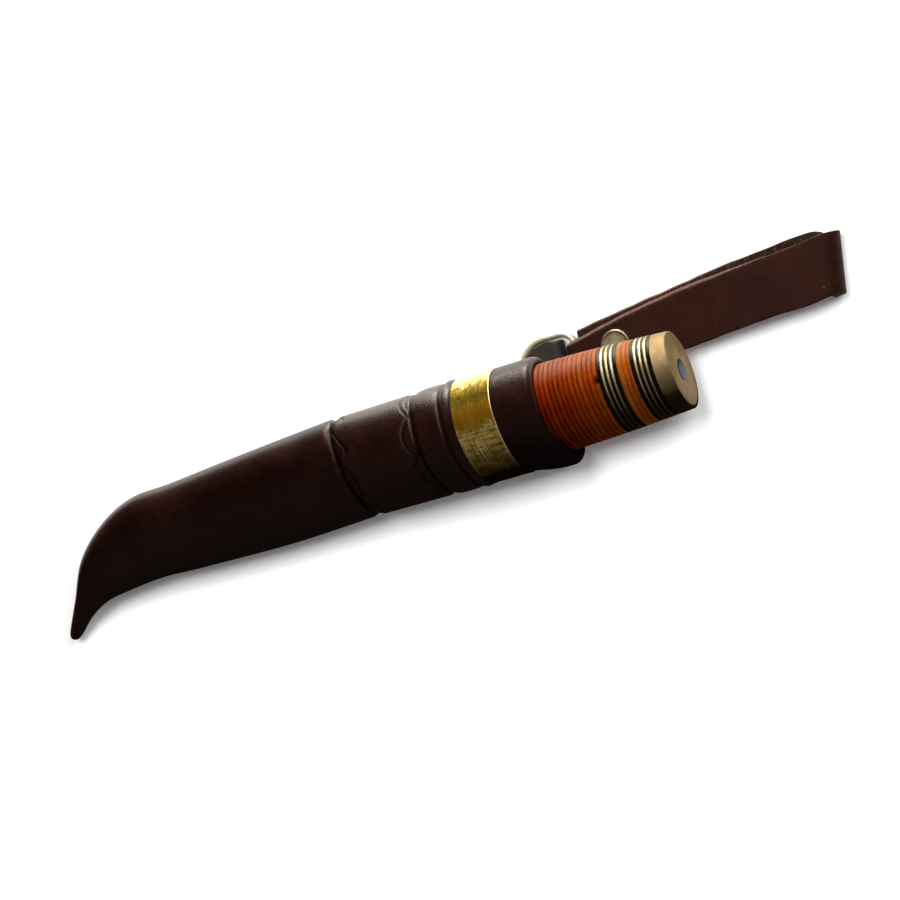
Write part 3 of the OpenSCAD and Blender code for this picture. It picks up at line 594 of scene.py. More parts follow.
# %% Brass band
BAND_A, BAND_B, BAND_T = 16.076, 12.833, 0.5
BAND_COLS, BAND_ROWS, BAND_GIRTH = 192, 40, 91
DENT, DENT_REACH = 0.035, 5.6
edge_off, edge_in = np.array([0.06, 0.0, 0.03, 0.12, 0.3]), np.array([0.42, 0.2, 0.06, 0.0, -0.06])
band_x = np.r_[BAND_X0 + edge_off, np.linspace(BAND_X0 + 0.8, BAND_X1 - 0.8, BAND_ROWS),
               BAND_X1 - edge_off[::-1]]
band_in = np.r_[edge_in, np.zeros(BAND_ROWS), edge_in[::-1]]
band_angle = np.arange(BAND_COLS) * 2 * np.pi / BAND_COLS
dents = DENT * ripple(band_x[:, None] / 1.6, band_angle[None] * 9, 21)
dents *= (np.abs(band_x - band_x.mean()) < DENT_REACH)[:, None]
band_out = np.stack([band_x[:, None] + 0 * band_angle, (BAND_A - band_in[:, None] + dents) * np.cos(band_angle),
                     (BAND_B - band_in[:, None] + dents) * np.sin(band_angle)], -1)
band_back = oval_rows(np.linspace(BAND_X1 - 0.1, BAND_X0 + 0.1, 6), np.full(6, BAND_A - BAND_T),
                      np.full(6, BAND_B - BAND_T), BAND_COLS)
band_rim = np.r_[np.full(4, 0.3), np.zeros(42), np.full(4, 0.8), np.zeros(6)]
band = make_piece("brass_band", from_knife(np.concatenate([band_out, band_back])), "sheath", ["mouth_band"],
                  loop=True,
                  uv=(np.r_[band_x, np.linspace(0, 12, 7)], np.linspace(0, BAND_GIRTH, BAND_COLS + 1)),
                  marks={"down": downward(BAND_COLS), "rim": band_rim[:, None]})

# %% [markdown]
# The back seam is sewn with one waxed thread. A stitch is a short round loaf that dips into the leather at
# both ends. All of them share one grid of points, moved to each place along the middle of the back.

# %% Back seam
THREAD_D, THREAD_DIP, THREAD_LIFT = 0.9, 0.35, 0.05
SEAM_STEPS, STITCHES_PER_ROW = 33, 5
POCKET_STITCH = 4.0


def stitches(name, starts, ends, lift, body, node):
    """A round profile along each start to end line, thin and sunk at its ends and full in the middle."""
    t = np.linspace(0, 1, 9)
    c, s = circle_of(8)
    line = starts[:, None] + (ends - starts)[:, None] * t[None, :, None]
    ahead = (ends - starts) / np.linalg.norm(ends - starts, axis=1, keepdims=True)
    side = np.cross(ahead, lift)
    side /= np.linalg.norm(side, axis=1, keepdims=True)
    full = np.sqrt(np.clip(1 - (2 * t - 1) ** 2, 0, 1))
    ring = side[:, None, None] * c[:, None] + lift[:, None, None] * s[:, None]
    ring = ring * full[None, :, None, None] * THREAD_D / 2
    dip = lift[:, None] * (THREAD_DIP * (full - 1))[None, :, None]
    return make_piece(name, from_knife((line + dip)[:, :, None] + ring), body, [node],
                      uv=(np.linspace(0, 3, 10), np.linspace(0, 2.8, 9)))


seam_rows = curve_through(OUTLINE, np.arange(SEAM_STEPS, 0, -1) / STITCHES_PER_ROW)
seam = np.column_stack([(seam_rows[:, 0:2] + seam_rows[:, 2:4]) / 2, -seam_rows[:, 4]])
pocket_seam_x = THROAT_X + 2 + POCKET_STITCH * np.arange(1, 6)
seam = np.concatenate([seam, np.stack([pocket_seam_x, 0 * pocket_seam_x, -pocket_out(pocket_seam_x)[1]], 1)])
seam_from, seam_to = (seam[:-1] + share * np.diff(seam, axis=0) for share in (0.16, 0.84))
outward = np.tile([0.0, 0.0, -1.0], (len(seam_from), 1))
seam_thread = stitches("back_seam_thread", seam_from + THREAD_LIFT * outward, seam_to + THREAD_LIFT * outward,
                       outward, "sheath", "back_seam_stitches")

# %% [markdown]
# The strap, and the keeper that holds the ring, are cut from strap leather with a smooth grain side and a
# rough flesh side. Both are one rounded strip carried along a path that is seen from the side, so one
# function serves. A curve with a bevel could do it too, but here the width, the cut of the edge and the
# flesh side can be set.

# %% Leather strips
CORNER, FLATS = 0.5, 14


def strip_grid(path, mid_y, half, thick, skew=0.0, slant=0.0):
    """Rounded rectangle carried along an x-z path, with its width along y and its thickness along the normal.

    A slant cuts its far edge: above 0 the grain side is narrower by that much, below 0 the flesh side.
    """
    d = np.gradient(path, axis=0)
    normal = np.stack([-d[:, 1], d[:, 0]], 1) / np.linalg.norm(d, axis=1, keepdims=True)
    turn = np.radians([0, 22, 45, 68, 90])
    side = np.linspace(-1, 1, FLATS)[1:-1]
    flat = 0 * side
    in_s, in_c = 1 - np.sin(turn), 1 - np.cos(turn)
    share = np.r_[side, np.ones(10), side[::-1], -np.ones(10)]
    corner = np.r_[flat, -in_s, -in_c, flat, in_s, in_c]
    level = np.r_[flat + 1, 1 - in_c * CORNER, in_s * CORNER - 1,
                  flat - 1, in_c * CORNER - 1, 1 - in_s * CORNER]
    half, mid_y, skew, slant = (np.broadcast_to(v, len(path))[:, None] for v in (half, mid_y, skew, slant))
    across = half * share + corner * CORNER * thick / 2
    across = across - np.abs(slant) * (1 + np.sign(slant) * level) / 2 * (1 + share) / 2
    x = path[:, :1] + normal[:, :1] * level * thick / 2 + skew * across / half
    z = path[:, 1:] + normal[:, 1:] * level * thick / 2
    flesh = np.r_[flat, np.full(3, 0.3), np.ones(7), flat + 1, np.ones(7), np.full(3, 0.3)]
    edge = np.r_[0, 0, 0.5, 1, 1, 1, 1, 0.5, 0, 0]
    return np.stack([x, mid_y + across, z], -1), flesh, np.r_[flat, edge, flat, edge]


def arc(x, z, r, start, stop, count):
    """Points on a circle from one angle to another, in degrees."""
    t = np.radians(np.linspace(start, stop, count))
    return np.stack([x + r * np.cos(t), z + r * np.sin(t)], 1)


def run(x0, z0, x1, z1, count):
    """Points from one place to another whose height eases in and out."""
    t = np.linspace(0, 1, count)
    return np.stack([x0 + (x1 - x0) * t, z0 + (z1 - z0) * ease(t)], 1)


def gone_along(path):
    """Length of the path from its start to each of its points."""
    return np.r_[0, np.cumsum(np.linalg.norm(np.diff(path, axis=0), axis=1))]


def even(path, step):
    """The same path with points at even steps along it."""
    gone = gone_along(path)
    apart = np.r_[True, np.diff(gone) > 1e-6]
    path, gone = path[apart], gone[apart]
    at = np.linspace(0, gone[-1], int(gone[-1] / step) + 1)
    return np.stack([np.interp(at, gone, path[:, 0]), np.interp(at, gone, path[:, 1])], 1)


# %% [markdown]
# The strap is one strip. It starts under the rivet, turns round the ring's bar, runs on top to the fold,
# and comes back below to end between the other two layers. The belt goes through the loop that this leaves.
# Seen from the side this is a path of arcs and eased lines, so the layers lie on each other without a
# simulation.

# %% Path of the belt strap
STRAP_T, STRAP_STEP = 1.5, 0.5
WIRE_D, WIRE_GAP, RING_Y, BAR_X = 1.8, 0.2, 12.0, 5.0
BELT_ROOM, STRAP_END_X = 5.4, 85.4
LOOP_R = WIRE_D / 2 + WIRE_GAP
WIRE_Z = LOOP_R + STRAP_T
TURN_R = LOOP_R + STRAP_T / 2
FOLD_R = (BELT_ROOM + STRAP_T) / 2
FOLD_X = STRAP_END_X - FOLD_R - STRAP_T / 2
RIVET_X, BACK_T, PRESSED_R = 18.2, 0.8, 5
TAIL_X = RIVET_X + 7
TAIL_Z = BACK_T + STRAP_T / 2
MID_Z, FRONT_Z = TAIL_Z + STRAP_T + 0.1, TAIL_Z + 2 * STRAP_T + 0.2
FLOOR_Z, TOP_Z = STRAP_T / 2, STRAP_T / 2 + 2 * FOLD_R
RISE_X = TAIL_X + 0.55 * (FOLD_X - TAIL_X)
NEAR_X, FAR_X = RIVET_X - PRESSED_R, RIVET_X + PRESSED_R
front_path = even(np.concatenate([
    run(TAIL_X, TAIL_Z, NEAR_X, TAIL_Z, 8), run(NEAR_X, TAIL_Z, BAR_X + 1.5, FLOOR_Z, 8),
    arc(BAR_X, WIRE_Z, TURN_R, 270, 90, 24), run(BAR_X + 1.5, WIRE_Z + TURN_R, NEAR_X, FRONT_Z, 8),
    run(FAR_X, FRONT_Z, RISE_X, TOP_Z, 16), run(RISE_X, TOP_Z, FOLD_X, TOP_Z, 12)]), STRAP_STEP)
back_path = even(np.concatenate([
    arc(FOLD_X, FLOOR_Z + FOLD_R, FOLD_R, 90, -90, 32), run(FOLD_X, FLOOR_Z, TAIL_X + 9, FLOOR_Z, 20),
    run(TAIL_X + 9, FLOOR_Z, TAIL_X + 1, MID_Z, 12), run(RIVET_X, MID_Z, NEAR_X, MID_Z, 4),
    run(NEAR_X, MID_Z, BAR_X + 1.8, WIRE_Z, 8)]), STRAP_STEP)
path = np.concatenate([front_path[:-1], back_path])
on_back = np.r_[np.zeros(len(front_path) - 1), np.ones(len(back_path))]
gone = gone_along(path)
print("the strap's strip is", round(gone[-1], 1), "mm long")

# %% [markdown]
# The strip is cut by eye. Both of its edges widen from the ring and draw in again before the fold, its back
# layer is a little wider than the front one, and its far edge is cut on a slant near the ring. Each edge is
# its half width at the ring plus a few eased steps along the way, and two slow waves stand for the wander
# of the knife.

# %% Belt strap
HALF_AT_RING, BACK_AT_RING = 5.8, 8.4
LEAN, FOLD_SKEW = 4.4, 1.4
FRONT_SLANT, BACK_SLANT = 1.15, -0.6
STRAP_GIRTH = 36


def from_ring(x):
    """Share of the way from the ring's bar to the fold."""
    return np.clip((x - BAR_X) / (FOLD_X - BAR_X), 0, 1)


def grow(share, by, start, over):
    """An eased step by that many millimetres, from a start and over a part of the way to the fold."""
    return by * ease((share - start) / over)


share = from_ring(path[:, 0])
far_edge = HALF_AT_RING + 2.9 * (1 - (1 - np.minimum(share / 0.5, 1)) ** 2)
far_edge = far_edge + grow(share, -1.0, 0.52, 0.48) + grow(share, 0.45, 0.86, 0.14)
near_edge = HALF_AT_RING + grow(share, 2.3, 0, 0.5)
near_edge = near_edge + grow(share, 1.0, 0.75, 0.22) + grow(share, -0.6, 0.9, 0.1)
back_edge = BACK_AT_RING + grow(share, 2.55, -0.05, 0.68)
bow = (back_edge - far_edge) * (1 - share ** 40)
strap_mid = RING_Y + LEAN * share + (far_edge - near_edge) / 2 + on_back * bow + 0.05 * np.sin(gone / 7)
strap_half = (far_edge + near_edge) / 2 + 0.05 * np.sin(gone / 3.1) + 0.04 * np.sin(gone / 1.3)
strap_slant = np.where(on_back, BACK_SLANT, FRONT_SLANT) * (1 - ease((share - 0.5) / 0.4))
strap_rows, strap_flesh, strap_cut = strip_grid(path, strap_mid, strap_half, STRAP_T,
                                                skew=FOLD_SKEW * share ** 3, slant=strap_slant)
closed = np.concatenate([shut(strap_rows[:1]), strap_rows, shut(strap_rows[-1:])])
strap_flesh = np.tile(strap_flesh, (len(closed), 1))
strap_flesh[[0, 1, -2, -1]] = 1.0
strap_along = np.r_[gone[0], gone, gone[-1], gone[-1]]
strap = make_piece("belt_loop_strap", from_table(closed), "strap", ["belt_strap"],
                   uv=(strap_along, np.linspace(0, STRAP_GIRTH, closed.shape[1] + 1)),
                   marks={"flesh": strap_flesh, "cut": strap_cut}, sharp=80)

# %% [markdown]
# The keeper is a short loop of the same leather that is sewn on behind the mouth. It holds the ring's round
# side and ends in a rounded tongue. The strip closes on itself here, so its rows close too.

# %% Ring keeper
RING_HALF, RING_SIDE, CORNER_R = 8.8, 8.9, 4.2
KEEPER_W, KEEPER_STEP, KEEPER_GIRTH = 14.0, 0.4, 31
KEEPER_X1 = BAR_X - LOOP_R - STRAP_T - 0.35
KEEPER_X0 = BAR_X - RING_SIDE - RING_HALF - WIRE_D / 2 - STRAP_T - 0.5
TONGUE_R = KEEPER_W + 0.9
left_x, right_x = KEEPER_X0 + LOOP_R + STRAP_T, KEEPER_X1 - LOOP_R - STRAP_T
keeper_path = even(np.concatenate([
    run(right_x, WIRE_Z + TURN_R, left_x, WIRE_Z + TURN_R, 12), arc(left_x, WIRE_Z, TURN_R, 90, 270, 20),
    run(left_x, WIRE_Z - TURN_R, right_x, WIRE_Z - TURN_R, 12),
    arc(right_x, WIRE_Z, TURN_R, -90, 90, 20)]), KEEPER_STEP)[:-1]
tongue_in = np.clip((KEEPER_X0 + TONGUE_R - keeper_path[:, 0]) / TONGUE_R, 0, 0.95)
keeper_wide = TONGUE_R * np.sqrt(1 - tongue_in ** 2) - 0.8 * ease((keeper_path[:, 0] + 2.5) / 2.5)
keeper_mid = RING_Y - KEEPER_W / 2 + keeper_wide / 2
keeper_rows, keeper_flesh, _ = strip_grid(keeper_path, keeper_mid, keeper_wide / 2, STRAP_T)
keeper_along = np.arange(len(keeper_rows) + 1) * KEEPER_STEP
keeper = make_piece("keeper_loop", from_table(keeper_rows), "sheath", ["ring_keeper"],
                    loop=True, uv=(keeper_along, np.linspace(0, KEEPER_GIRTH, keeper_rows.shape[1] + 1)),
                    marks={"flesh": np.tile(1 - keeper_flesh, (len(keeper_rows), 1))}, sharp=80)

# %% [markdown]
# The ring is a bent wire: a straight bar for the strap, two sides and a half round that the keeper holds. A
# round profile is carried along that closed path.

# %% Hanger ring
WIRE_COLS, WIRE_STEP, WIRE_GIRTH = 24, 0.4, 5.6
bend_x, corner_x, corner_y = BAR_X - RING_SIDE, BAR_X - CORNER_R, RING_HALF - CORNER_R
ring_path = even(np.concatenate([
    arc(bend_x, 0, RING_HALF, 90, 270, 60), arc(corner_x, -corner_y, CORNER_R, -90, 0, 16),
    arc(corner_x, corner_y, CORNER_R, 0, 90, 16), [[bend_x, RING_HALF]]]), WIRE_STEP)[:-1]
ahead = np.roll(ring_path, -1, 0) - np.roll(ring_path, 1, 0)
aside = np.stack([-ahead[:, 1], ahead[:, 0]], 1) / np.linalg.norm(ahead, axis=1, keepdims=True)
c, s = circle_of(WIRE_COLS)
ring_xy = ring_path[:, None] + aside[:, None] * (WIRE_D / 2 * c)[None, :, None]
ring_z = np.broadcast_to(WIRE_Z + WIRE_D / 2 * s, ring_xy.shape[:2])
ring_grid = np.concatenate([ring_xy + [0, RING_Y], ring_z[..., None]], -1)
ring = make_piece("wire_ring", from_table(ring_grid), "ring", ["hanger_ring"], loop=True,
                  uv=(np.arange(len(ring_grid) + 1) * WIRE_STEP, np.linspace(0, WIRE_GIRTH, WIRE_COLS + 1)))

# %% [markdown]
# The rivet's cap is a stamped disc with a raised, rounded rim, and its back is a flat washer with a soft
# edge. Each is a profile turned about the post.

# %% Rivet
RIVET_COLS, RIVET_GIRTH = 64, 27
RIVET_Y = RING_Y + LEAN * float(from_ring(RIVET_X))


def turned(name, radius, height, node, at_z):
    """Radius and height pairs turned about the rivet's axis."""
    c, s = circle_of(RIVET_COLS)
    radius, height = np.asarray(radius)[:, None], np.asarray(height)[:, None]
    grid = np.stack([RIVET_X + radius * c, RIVET_Y + radius * s, at_z + height + 0 * c], -1)
    return make_piece(name, from_table(grid), "strap", [node],
                      uv=(np.arange(len(radius) + 1.0), np.linspace(0, RIVET_GIRTH, RIVET_COLS + 1)), sharp=60)


rivet = turned("rivet_disc", [0, 4.1, 4.32, 4.4, 4.38, 4.26, 4.1, 3.9, 3.7, 3.5, 3.3, 2.4, 1.2, 0],
               [0, 0, 0.1, 0.5, 1.0, 1.26, 1.4, 1.42, 1.34, 1.22, 1.18, 1.22, 1.26, 1.28],
               "rivet_cap", FRONT_Z + STRAP_T / 2)
rivet_back = turned("rivet_washer", [0, 3.6, 3.84, 3.9, 3.86, 3.7, 1.6, 1.4, 0],
                    [0, 0, 0.08, 0.3, 0.66, 0.8, 0.8, 0.8, 0.8], "rivet_back_cap", 0.0)

# %% [markdown]
# Finishes come next. Colours are written as the sRGB values that a paint program shows and are turned to
# linear light by one function. One more function adds a node, sets it and links it, which keeps each recipe
# short. Where an input is given as another node, that node's first live output is linked.

# %% Node helper
COLOUR_MIX, VALUE_MIX = {"data_type": "RGBA"}, {"data_type": "FLOAT"}
COLOUR_TIMES = {"data_type": "RGBA", "blend_type": "MULTIPLY"}
TIMES, TIMES_PLUS = {"operation": "MULTIPLY"}, {"operation": "MULTIPLY_ADD"}
# sockets of a Mix node: its two colours, then its two values
BASE, OVER, FIRST, LAST = 6, 7, 2, 3


def linear(hex_colour):
    """sRGB hex to linear light: divide by 12.92 near black, otherwise the 2.4 power curve."""
    value = np.array([int(hex_colour[k:k + 2], 16) for k in (1, 3, 5)]) / 255
    return (*np.where(value <= 0.04045, value / 12.92, ((value + 0.055) / 1.055) ** 2.4), 1.0)


def add(tree, kind, settings=None, inputs=None, stops=None):
    """Adds a node: settings are its own fields, inputs are values or what to link, stops fill a colour ramp."""
    made = tree.nodes.new("ShaderNode" + kind)
    for field, value in (settings or {}).items():
        setattr(made, field, value)
    for socket, value in (inputs or {}).items():
        if isinstance(value, bpy.types.Node):
            value = next(output for output in value.outputs if output.enabled)
        if isinstance(value, bpy.types.NodeSocket):
            tree.links.new(value, made.inputs[socket])
        else:
            made.inputs[socket].default_value = value
    if stops:
        ramp = made.color_ramp.elements
        while len(ramp) < len(stops):
            ramp.new(0.5)
        for element, (place, colour) in zip(ramp, stops):
            element.position = place
            element.color = linear(colour) if isinstance(colour, str) else (colour, colour, colour, 1)
    return made


def finish_for(name):
    """A new material with an empty tree."""
    material = bpy.data.materials.new(name)
    material.use_nodes = True
    material.node_tree.nodes.clear()
    return material, material.node_tree


def per_mm(size):
    """Texture scale for features of that size in millimetres on metre coordinates."""
    return 1 / (size * MM)


def wear(pieces, material):
    """Gives the finish to each piece."""
    for piece in pieces:
        piece.data.materials.clear()
        piece.data.materials.append(material)
    print(material.name, "on", len(pieces), "pieces")


# %% [markdown]
# Vegetable tanned leather, dyed brown, waxed and polished. The eye sees cloudy dye and fine pores of under a
# millimetre. Light is painted in too: a satin sheen set only along the lit top, a greyer tone as painted shade
# on the far side, painted highlights on the ridges and the lip, and painted shade on the mouth's lower side.
# Tooled lines are darker, partly by the pressing and partly as painted shade. The flesh side and the cut edges
# are a rough, paler nap. One recipe serves for the sheath, the strap and the keeper, which differ in dye and
# polish.
# The strap has one pale fleck, where its grain is scuffed.

# %% Leather finishes
CLOUD_MM, FIBRE_MM, RELIEF_MM = 14, 0.9, 0.12
FLECK_MM, FLECK_CORE_MM, FLECK_END_MM = (79.7, 10.8, TOP_Z + STRAP_T / 2), 0.1, 0.28
LIT_TOP_SHEEN = ((0.0, 1.0), (0.07, 0.85), (0.12, 0.4), (0.18, 0.1), (0.3, 0.0))


def leather(name, tones, flesh_tone, gloss, pore=0.8, deep=0.25, wax=0.14, fleck=(0, 0, 1)):
    """Dye times pores, mixed by each mark in turn with its own colour, with a greyer painted shade where "down"
    is high; the shine is set only where "down" is low, a painted sheen.
    """
    material, tree = finish_for(name)
    place = add(tree, "TexCoord").outputs["Object"]
    down, tooled_and_shade_at, painted_highlight_at, flesh_at, cut_at = (
        add(tree, "Attribute", {"attribute_name": mark}).outputs["Fac"]
        for mark in ("down", "tooled_and_shade", "painted_highlight", "flesh", "cut"))
    cloud = add(tree, "TexNoise", None, {"Vector": place, "Scale": per_mm(CLOUD_MM), "Detail": 5.0,
                                         "Roughness": 0.6})
    dye = add(tree, "ValToRGB", None, {"Fac": cloud}, list(zip((0.3, 0.5, 0.72), tones)))
    fine = add(tree, "TexNoise", None, {"Vector": place, "Scale": per_mm(pore), "Detail": 4.0,
                                        "Roughness": 0.65})
    speck = add(tree, "ValToRGB", None, {"Fac": fine}, [(0.36, 0.55), (0.56, 1.0)])
    grain = add(tree, "Mix", COLOUR_TIMES, {"Factor": 0.55, BASE: dye, OVER: speck})
    # painted shade: the side away from the light gets a greyer tone
    shade_paint = add(tree, "MapRange", None, {"Value": down, "From Min": 0.4, "From Max": 0.9, "To Max": 0.7})
    painted_shade_grey = add(tree, "Mix", COLOUR_MIX, {"Factor": shade_paint, BASE: grain, OVER: linear("#302521")})
    # tooled lines: the pressed leather's own darker colour, with painted shade in the grooves and on the mouth's
    # lower side
    lined = add(tree, "Mix", COLOUR_MIX, {"Factor": tooled_and_shade_at, BASE: painted_shade_grey, OVER: linear("#0c0707")})
    # painted highlight on the ridges, the lip and the pocket's top
    wear_and_highlight = add(tree, "Mix", COLOUR_MIX, {"Factor": painted_highlight_at, BASE: lined, OVER: linear("#544840")})
    # the flesh side and the cut edges
    fibre = add(tree, "TexNoise", None, {"Vector": place, "Scale": per_mm(FIBRE_MM), "Detail": 6.0,
                                         "Roughness": 0.75, "Distortion": 1.0})
    nap = add(tree, "ValToRGB", None, {"Fac": fibre}, [(0.4, "#1c100a"), (0.54, flesh_tone), (0.74, "#80614e")])
    cut_part = add(tree, "Math", TIMES, {0: cut_at, 1: fibre})
    raw = add(tree, "Mix", COLOUR_MIX, {"Factor": cut_part, BASE: nap, OVER: linear("#84685a")})
    sides = add(tree, "Mix", COLOUR_MIX, {"Factor": flesh_at, BASE: wear_and_highlight, OVER: raw})
    # the scuffed fleck
    away = add(tree, "VectorMath", {"operation": "DISTANCE"}, {0: place, 1: fleck})
    spot = add(tree, "MapRange", None, {"Value": away, "From Min": FLECK_CORE_MM * MM,
                                        "From Max": FLECK_END_MM * MM, "To Min": 0.25, "To Max": 0.0})
    colour = add(tree, "Mix", COLOUR_MIX, {"Factor": spot, BASE: sides, OVER: linear("#b3a59b")})
    # relief and shine
    pores = add(tree, "TexVoronoi", {"feature": "DISTANCE_TO_EDGE"},
                {"Vector": place, "Scale": per_mm(pore * 1.1)})
    low = add(tree, "MapRange", None, {"Value": pores, "From Max": 0.12})
    pitted = add(tree, "Math", TIMES_PLUS, {0: fine, 1: 0.8, 2: low})
    rough_nap = add(tree, "Math", TIMES, {0: fibre, 1: 4.0})
    height = add(tree, "Mix", VALUE_MIX, {"Factor": flesh_at, FIRST: pitted, LAST: rough_nap})
    relief = add(tree, "Bump", None, {"Height": height, "Strength": deep, "Distance": RELIEF_MM * MM})
    satin = add(tree, "MapRange", None, {"Value": fine, "To Min": gloss - 0.06, "To Max": gloss + 0.12})
    dull = add(tree, "Mix", VALUE_MIX, {"Factor": flesh_at, FIRST: satin, LAST: 0.9})
    # painted sheen: the shine is set only along the lit top
    lit_top_sheen = add(tree, "ValToRGB", None, {"Fac": down}, [(at, part * wax) for at, part in LIT_TOP_SHEEN])
    unpolished = add(tree, "Mix", VALUE_MIX, {"Factor": tooled_and_shade_at, FIRST: lit_top_sheen, LAST: 0.0})
    shine = add(tree, "Math", TIMES_PLUS, {0: painted_highlight_at, 1: 0.16, 2: unpolished})
    shader = add(tree, "BsdfPrincipled", None, {
        "Base Color": colour, "Roughness": dull, "Normal": relief, "Specular IOR Level": shine,
        "Specular Tint": linear("#fff3e4")})
    add(tree, "OutputMaterial", None, {"Surface": shader})
    return material


sheath_finish = leather("veg_tan_leather_waxed", ("#1d0c09", "#27130e", "#331b15"), "#4a3025", 0.3,
                        deep=0.28, wax=1.0)
strap_finish = leather("strap_leather_dyed", ("#2a110b", "#33160f", "#3c1b13"), "#38221a", 0.5,
                       pore=0.7, wax=0.1, fleck=from_table(FLECK_MM))
keeper_finish = leather("keeper_leather_polished", ("#1c1915", "#28241e", "#353028"), "#2a221c", 0.42, wax=0.4)
wear([sheath], sheath_finish)
wear([strap], strap_finish)
wear([keeper], keeper_finish)

# %% [markdown]
# Birch bark, pressed, glued and oiled. Seen on its edge, each disc is a few orange brown layers, darker in
# the grip and paler at the rear. The layers follow x, and a little noise makes them waver. Each layer gets
# its own tone from its number, so no two neighbours look the same, and the layers within a disc are a
# stretched noise.

# %% Birch bark layers
LAYER_SWAY_MM, LAYER_SHIFT = 0.9, 0.3
LAYER_FINE_MM, LAYER_LONG_MM = 0.3, 7
REAR_REACH_MM = 30
bark_finish, tree = finish_for("birch_bark_oiled")
place = add(tree, "TexCoord").outputs["Object"]
along_x = add(tree, "SeparateXYZ", None, {"Vector": place}).outputs["X"]
down, nick_at = (add(tree, "Attribute", {"attribute_name": mark}).outputs["Fac"]
                 for mark in ("down", "nick"))
to_rear = add(tree, "MapRange", None, {"Value": along_x, "From Min": MOUTH[0],
                                       "From Max": MOUTH[0] + REAR_REACH_MM * MM})
sway = add(tree, "TexNoise", None, {"Vector": place, "Scale": per_mm(9), "Detail": 3.0})
swayed = add(tree, "Math", TIMES_PLUS, {0: sway, 1: LAYER_SWAY_MM * MM, 2: along_x})
layer_at = add(tree, "Math", TIMES_PLUS, {0: swayed, 1: per_mm(GRIP_T),
                                          2: -(MOUTH[0] / MM + GRIP_X) / GRIP_T - LAYER_SHIFT})
layer_no = add(tree, "Math", {"operation": "FLOOR"}, {0: layer_at})
layer_in = add(tree, "Math", {"operation": "FRACT"}, {0: layer_at})
chance = add(tree, "TexWhiteNoise", {"noise_dimensions": "1D"}, {"W": layer_no})
own_tone = add(tree, "Math", TIMES, {0: chance, 1: 0.45})
tone_at = add(tree, "Math", TIMES_PLUS, {0: to_rear, 1: 0.75, 2: own_tone})
disc_tone = add(tree, "ValToRGB", None, {"Fac": tone_at},
                [(0.0, "#92400c"), (0.35, "#a8520f"), (0.7, "#ba6a1c"), (1.0, "#c6822e")])
layer_space = add(tree, "Mapping", None, {
    "Vector": place, "Scale": (per_mm(LAYER_FINE_MM), per_mm(LAYER_LONG_MM), per_mm(LAYER_LONG_MM))})
layers = add(tree, "TexNoise", None, {"Vector": layer_space, "Scale": 1.0, "Detail": 4.0, "Roughness": 0.65})
layer_tone = add(tree, "ValToRGB", None, {"Fac": layers}, [(0.3, 0.45), (0.6, 1.0)])
striped = add(tree, "Mix", COLOUR_TIMES, {"Factor": 0.75, BASE: disc_tone, OVER: layer_tone})
print(bark_finish.name, "has layers", round(GRIP_T, 2), "mm apart")

# %% [markdown]
# Thin dark lines lie between the discs, where the bark's hard outer skin is, and they are stronger in the
# grip than at the rear. Short dark flecks show where the bark breathed. The handle's lower side, away from
# the light, is painted darker and redder as shade, less so at the rear, and its shine is set only along the lit
# top as a painted sheen.

# %% Birch bark lines and flecks
line = add(tree, "ValToRGB", None, {"Fac": layer_in},
           [(0.0, 1.0), (0.14, 0.95), (0.36, 0.0), (0.8, 0.0), (0.94, 1.0)])
strength = add(tree, "TexNoise", None, {"Vector": place, "Scale": per_mm(5), "Detail": 4.0})
line_mask = add(tree, "Math", TIMES, {0: line, 1: strength})
line_part = add(tree, "MapRange", None, {"Value": to_rear, "To Min": 1.6, "To Max": 0.8})
line_full = add(tree, "Math", {"operation": "MULTIPLY", "use_clamp": True}, {0: line_mask, 1: line_part})
lined = add(tree, "Mix", COLOUR_MIX, {"Factor": line_full, BASE: striped, OVER: linear("#3c1408")})
fleck_space = add(tree, "Mapping", None, {"Vector": place, "Scale": (per_mm(0.7), per_mm(1.3), per_mm(1.3))})
flecks = add(tree, "TexNoise", None, {"Vector": fleck_space, "Scale": 1.0, "Detail": 2.0})
fleck_mask = add(tree, "ValToRGB", None, {"Fac": flecks}, [(0.63, 0.0), (0.72, 0.85)])
dark_at = add(tree, "Math", {"operation": "MAXIMUM"}, {0: fleck_mask, 1: nick_at})
flecked = add(tree, "Mix", COLOUR_MIX, {"Factor": dark_at, BASE: lined, OVER: linear("#2e1006")})
# painted shade: the lower side is darker and redder, the top a little paler
painted_shade_tone = add(tree, "ValToRGB", None, {"Fac": down},
              [(0.06, "#f2e6da"), (0.22, "#dfa088"), (0.42, "#cc7c70"), (0.6, "#c67468"), (0.75, "#c88e80"),
               (0.95, "#b88c7e")])
painted_shade_part = add(tree, "MapRange", None, {"Value": to_rear, "To Min": 1.0, "To Max": 0.6})
bark_tone = add(tree, "Mix", COLOUR_TIMES, {"Factor": painted_shade_part, BASE: flecked, OVER: painted_shade_tone})
raised = add(tree, "Math", {"operation": "SUBTRACT"}, {0: layers, 1: line_full})
relief = add(tree, "Bump", None, {"Height": raised, "Strength": 0.3, "Distance": 0.08 * MM})
# painted sheen: shine only along the lit top
lit_top_shine = add(tree, "MapRange", None, {"Value": down, "From Min": 0.03, "From Max": 0.25,
                                     "To Min": 0.3, "To Max": 0.0})
shader = add(tree, "BsdfPrincipled", None, {"Base Color": bark_tone, "Roughness": 0.5,
                                            "Specular IOR Level": lit_top_shine, "Normal": relief})
add(tree, "OutputMaterial", None, {"Surface": shader})
wear([bark_grip, bark_rear], bark_finish)

# %% [markdown]
# Brass, filed and rubbed by hand. What the eye sees is colour with fine scratches: they run round the
# piece, others cross them, and tarnish gathers in streaks. The side away from the light is painted darker
# and less metallic as shade. The scratches read the piece's own map in millimetres, so that they follow the
# bend. Real ones are finer and are drawn as coarse as they need to show.

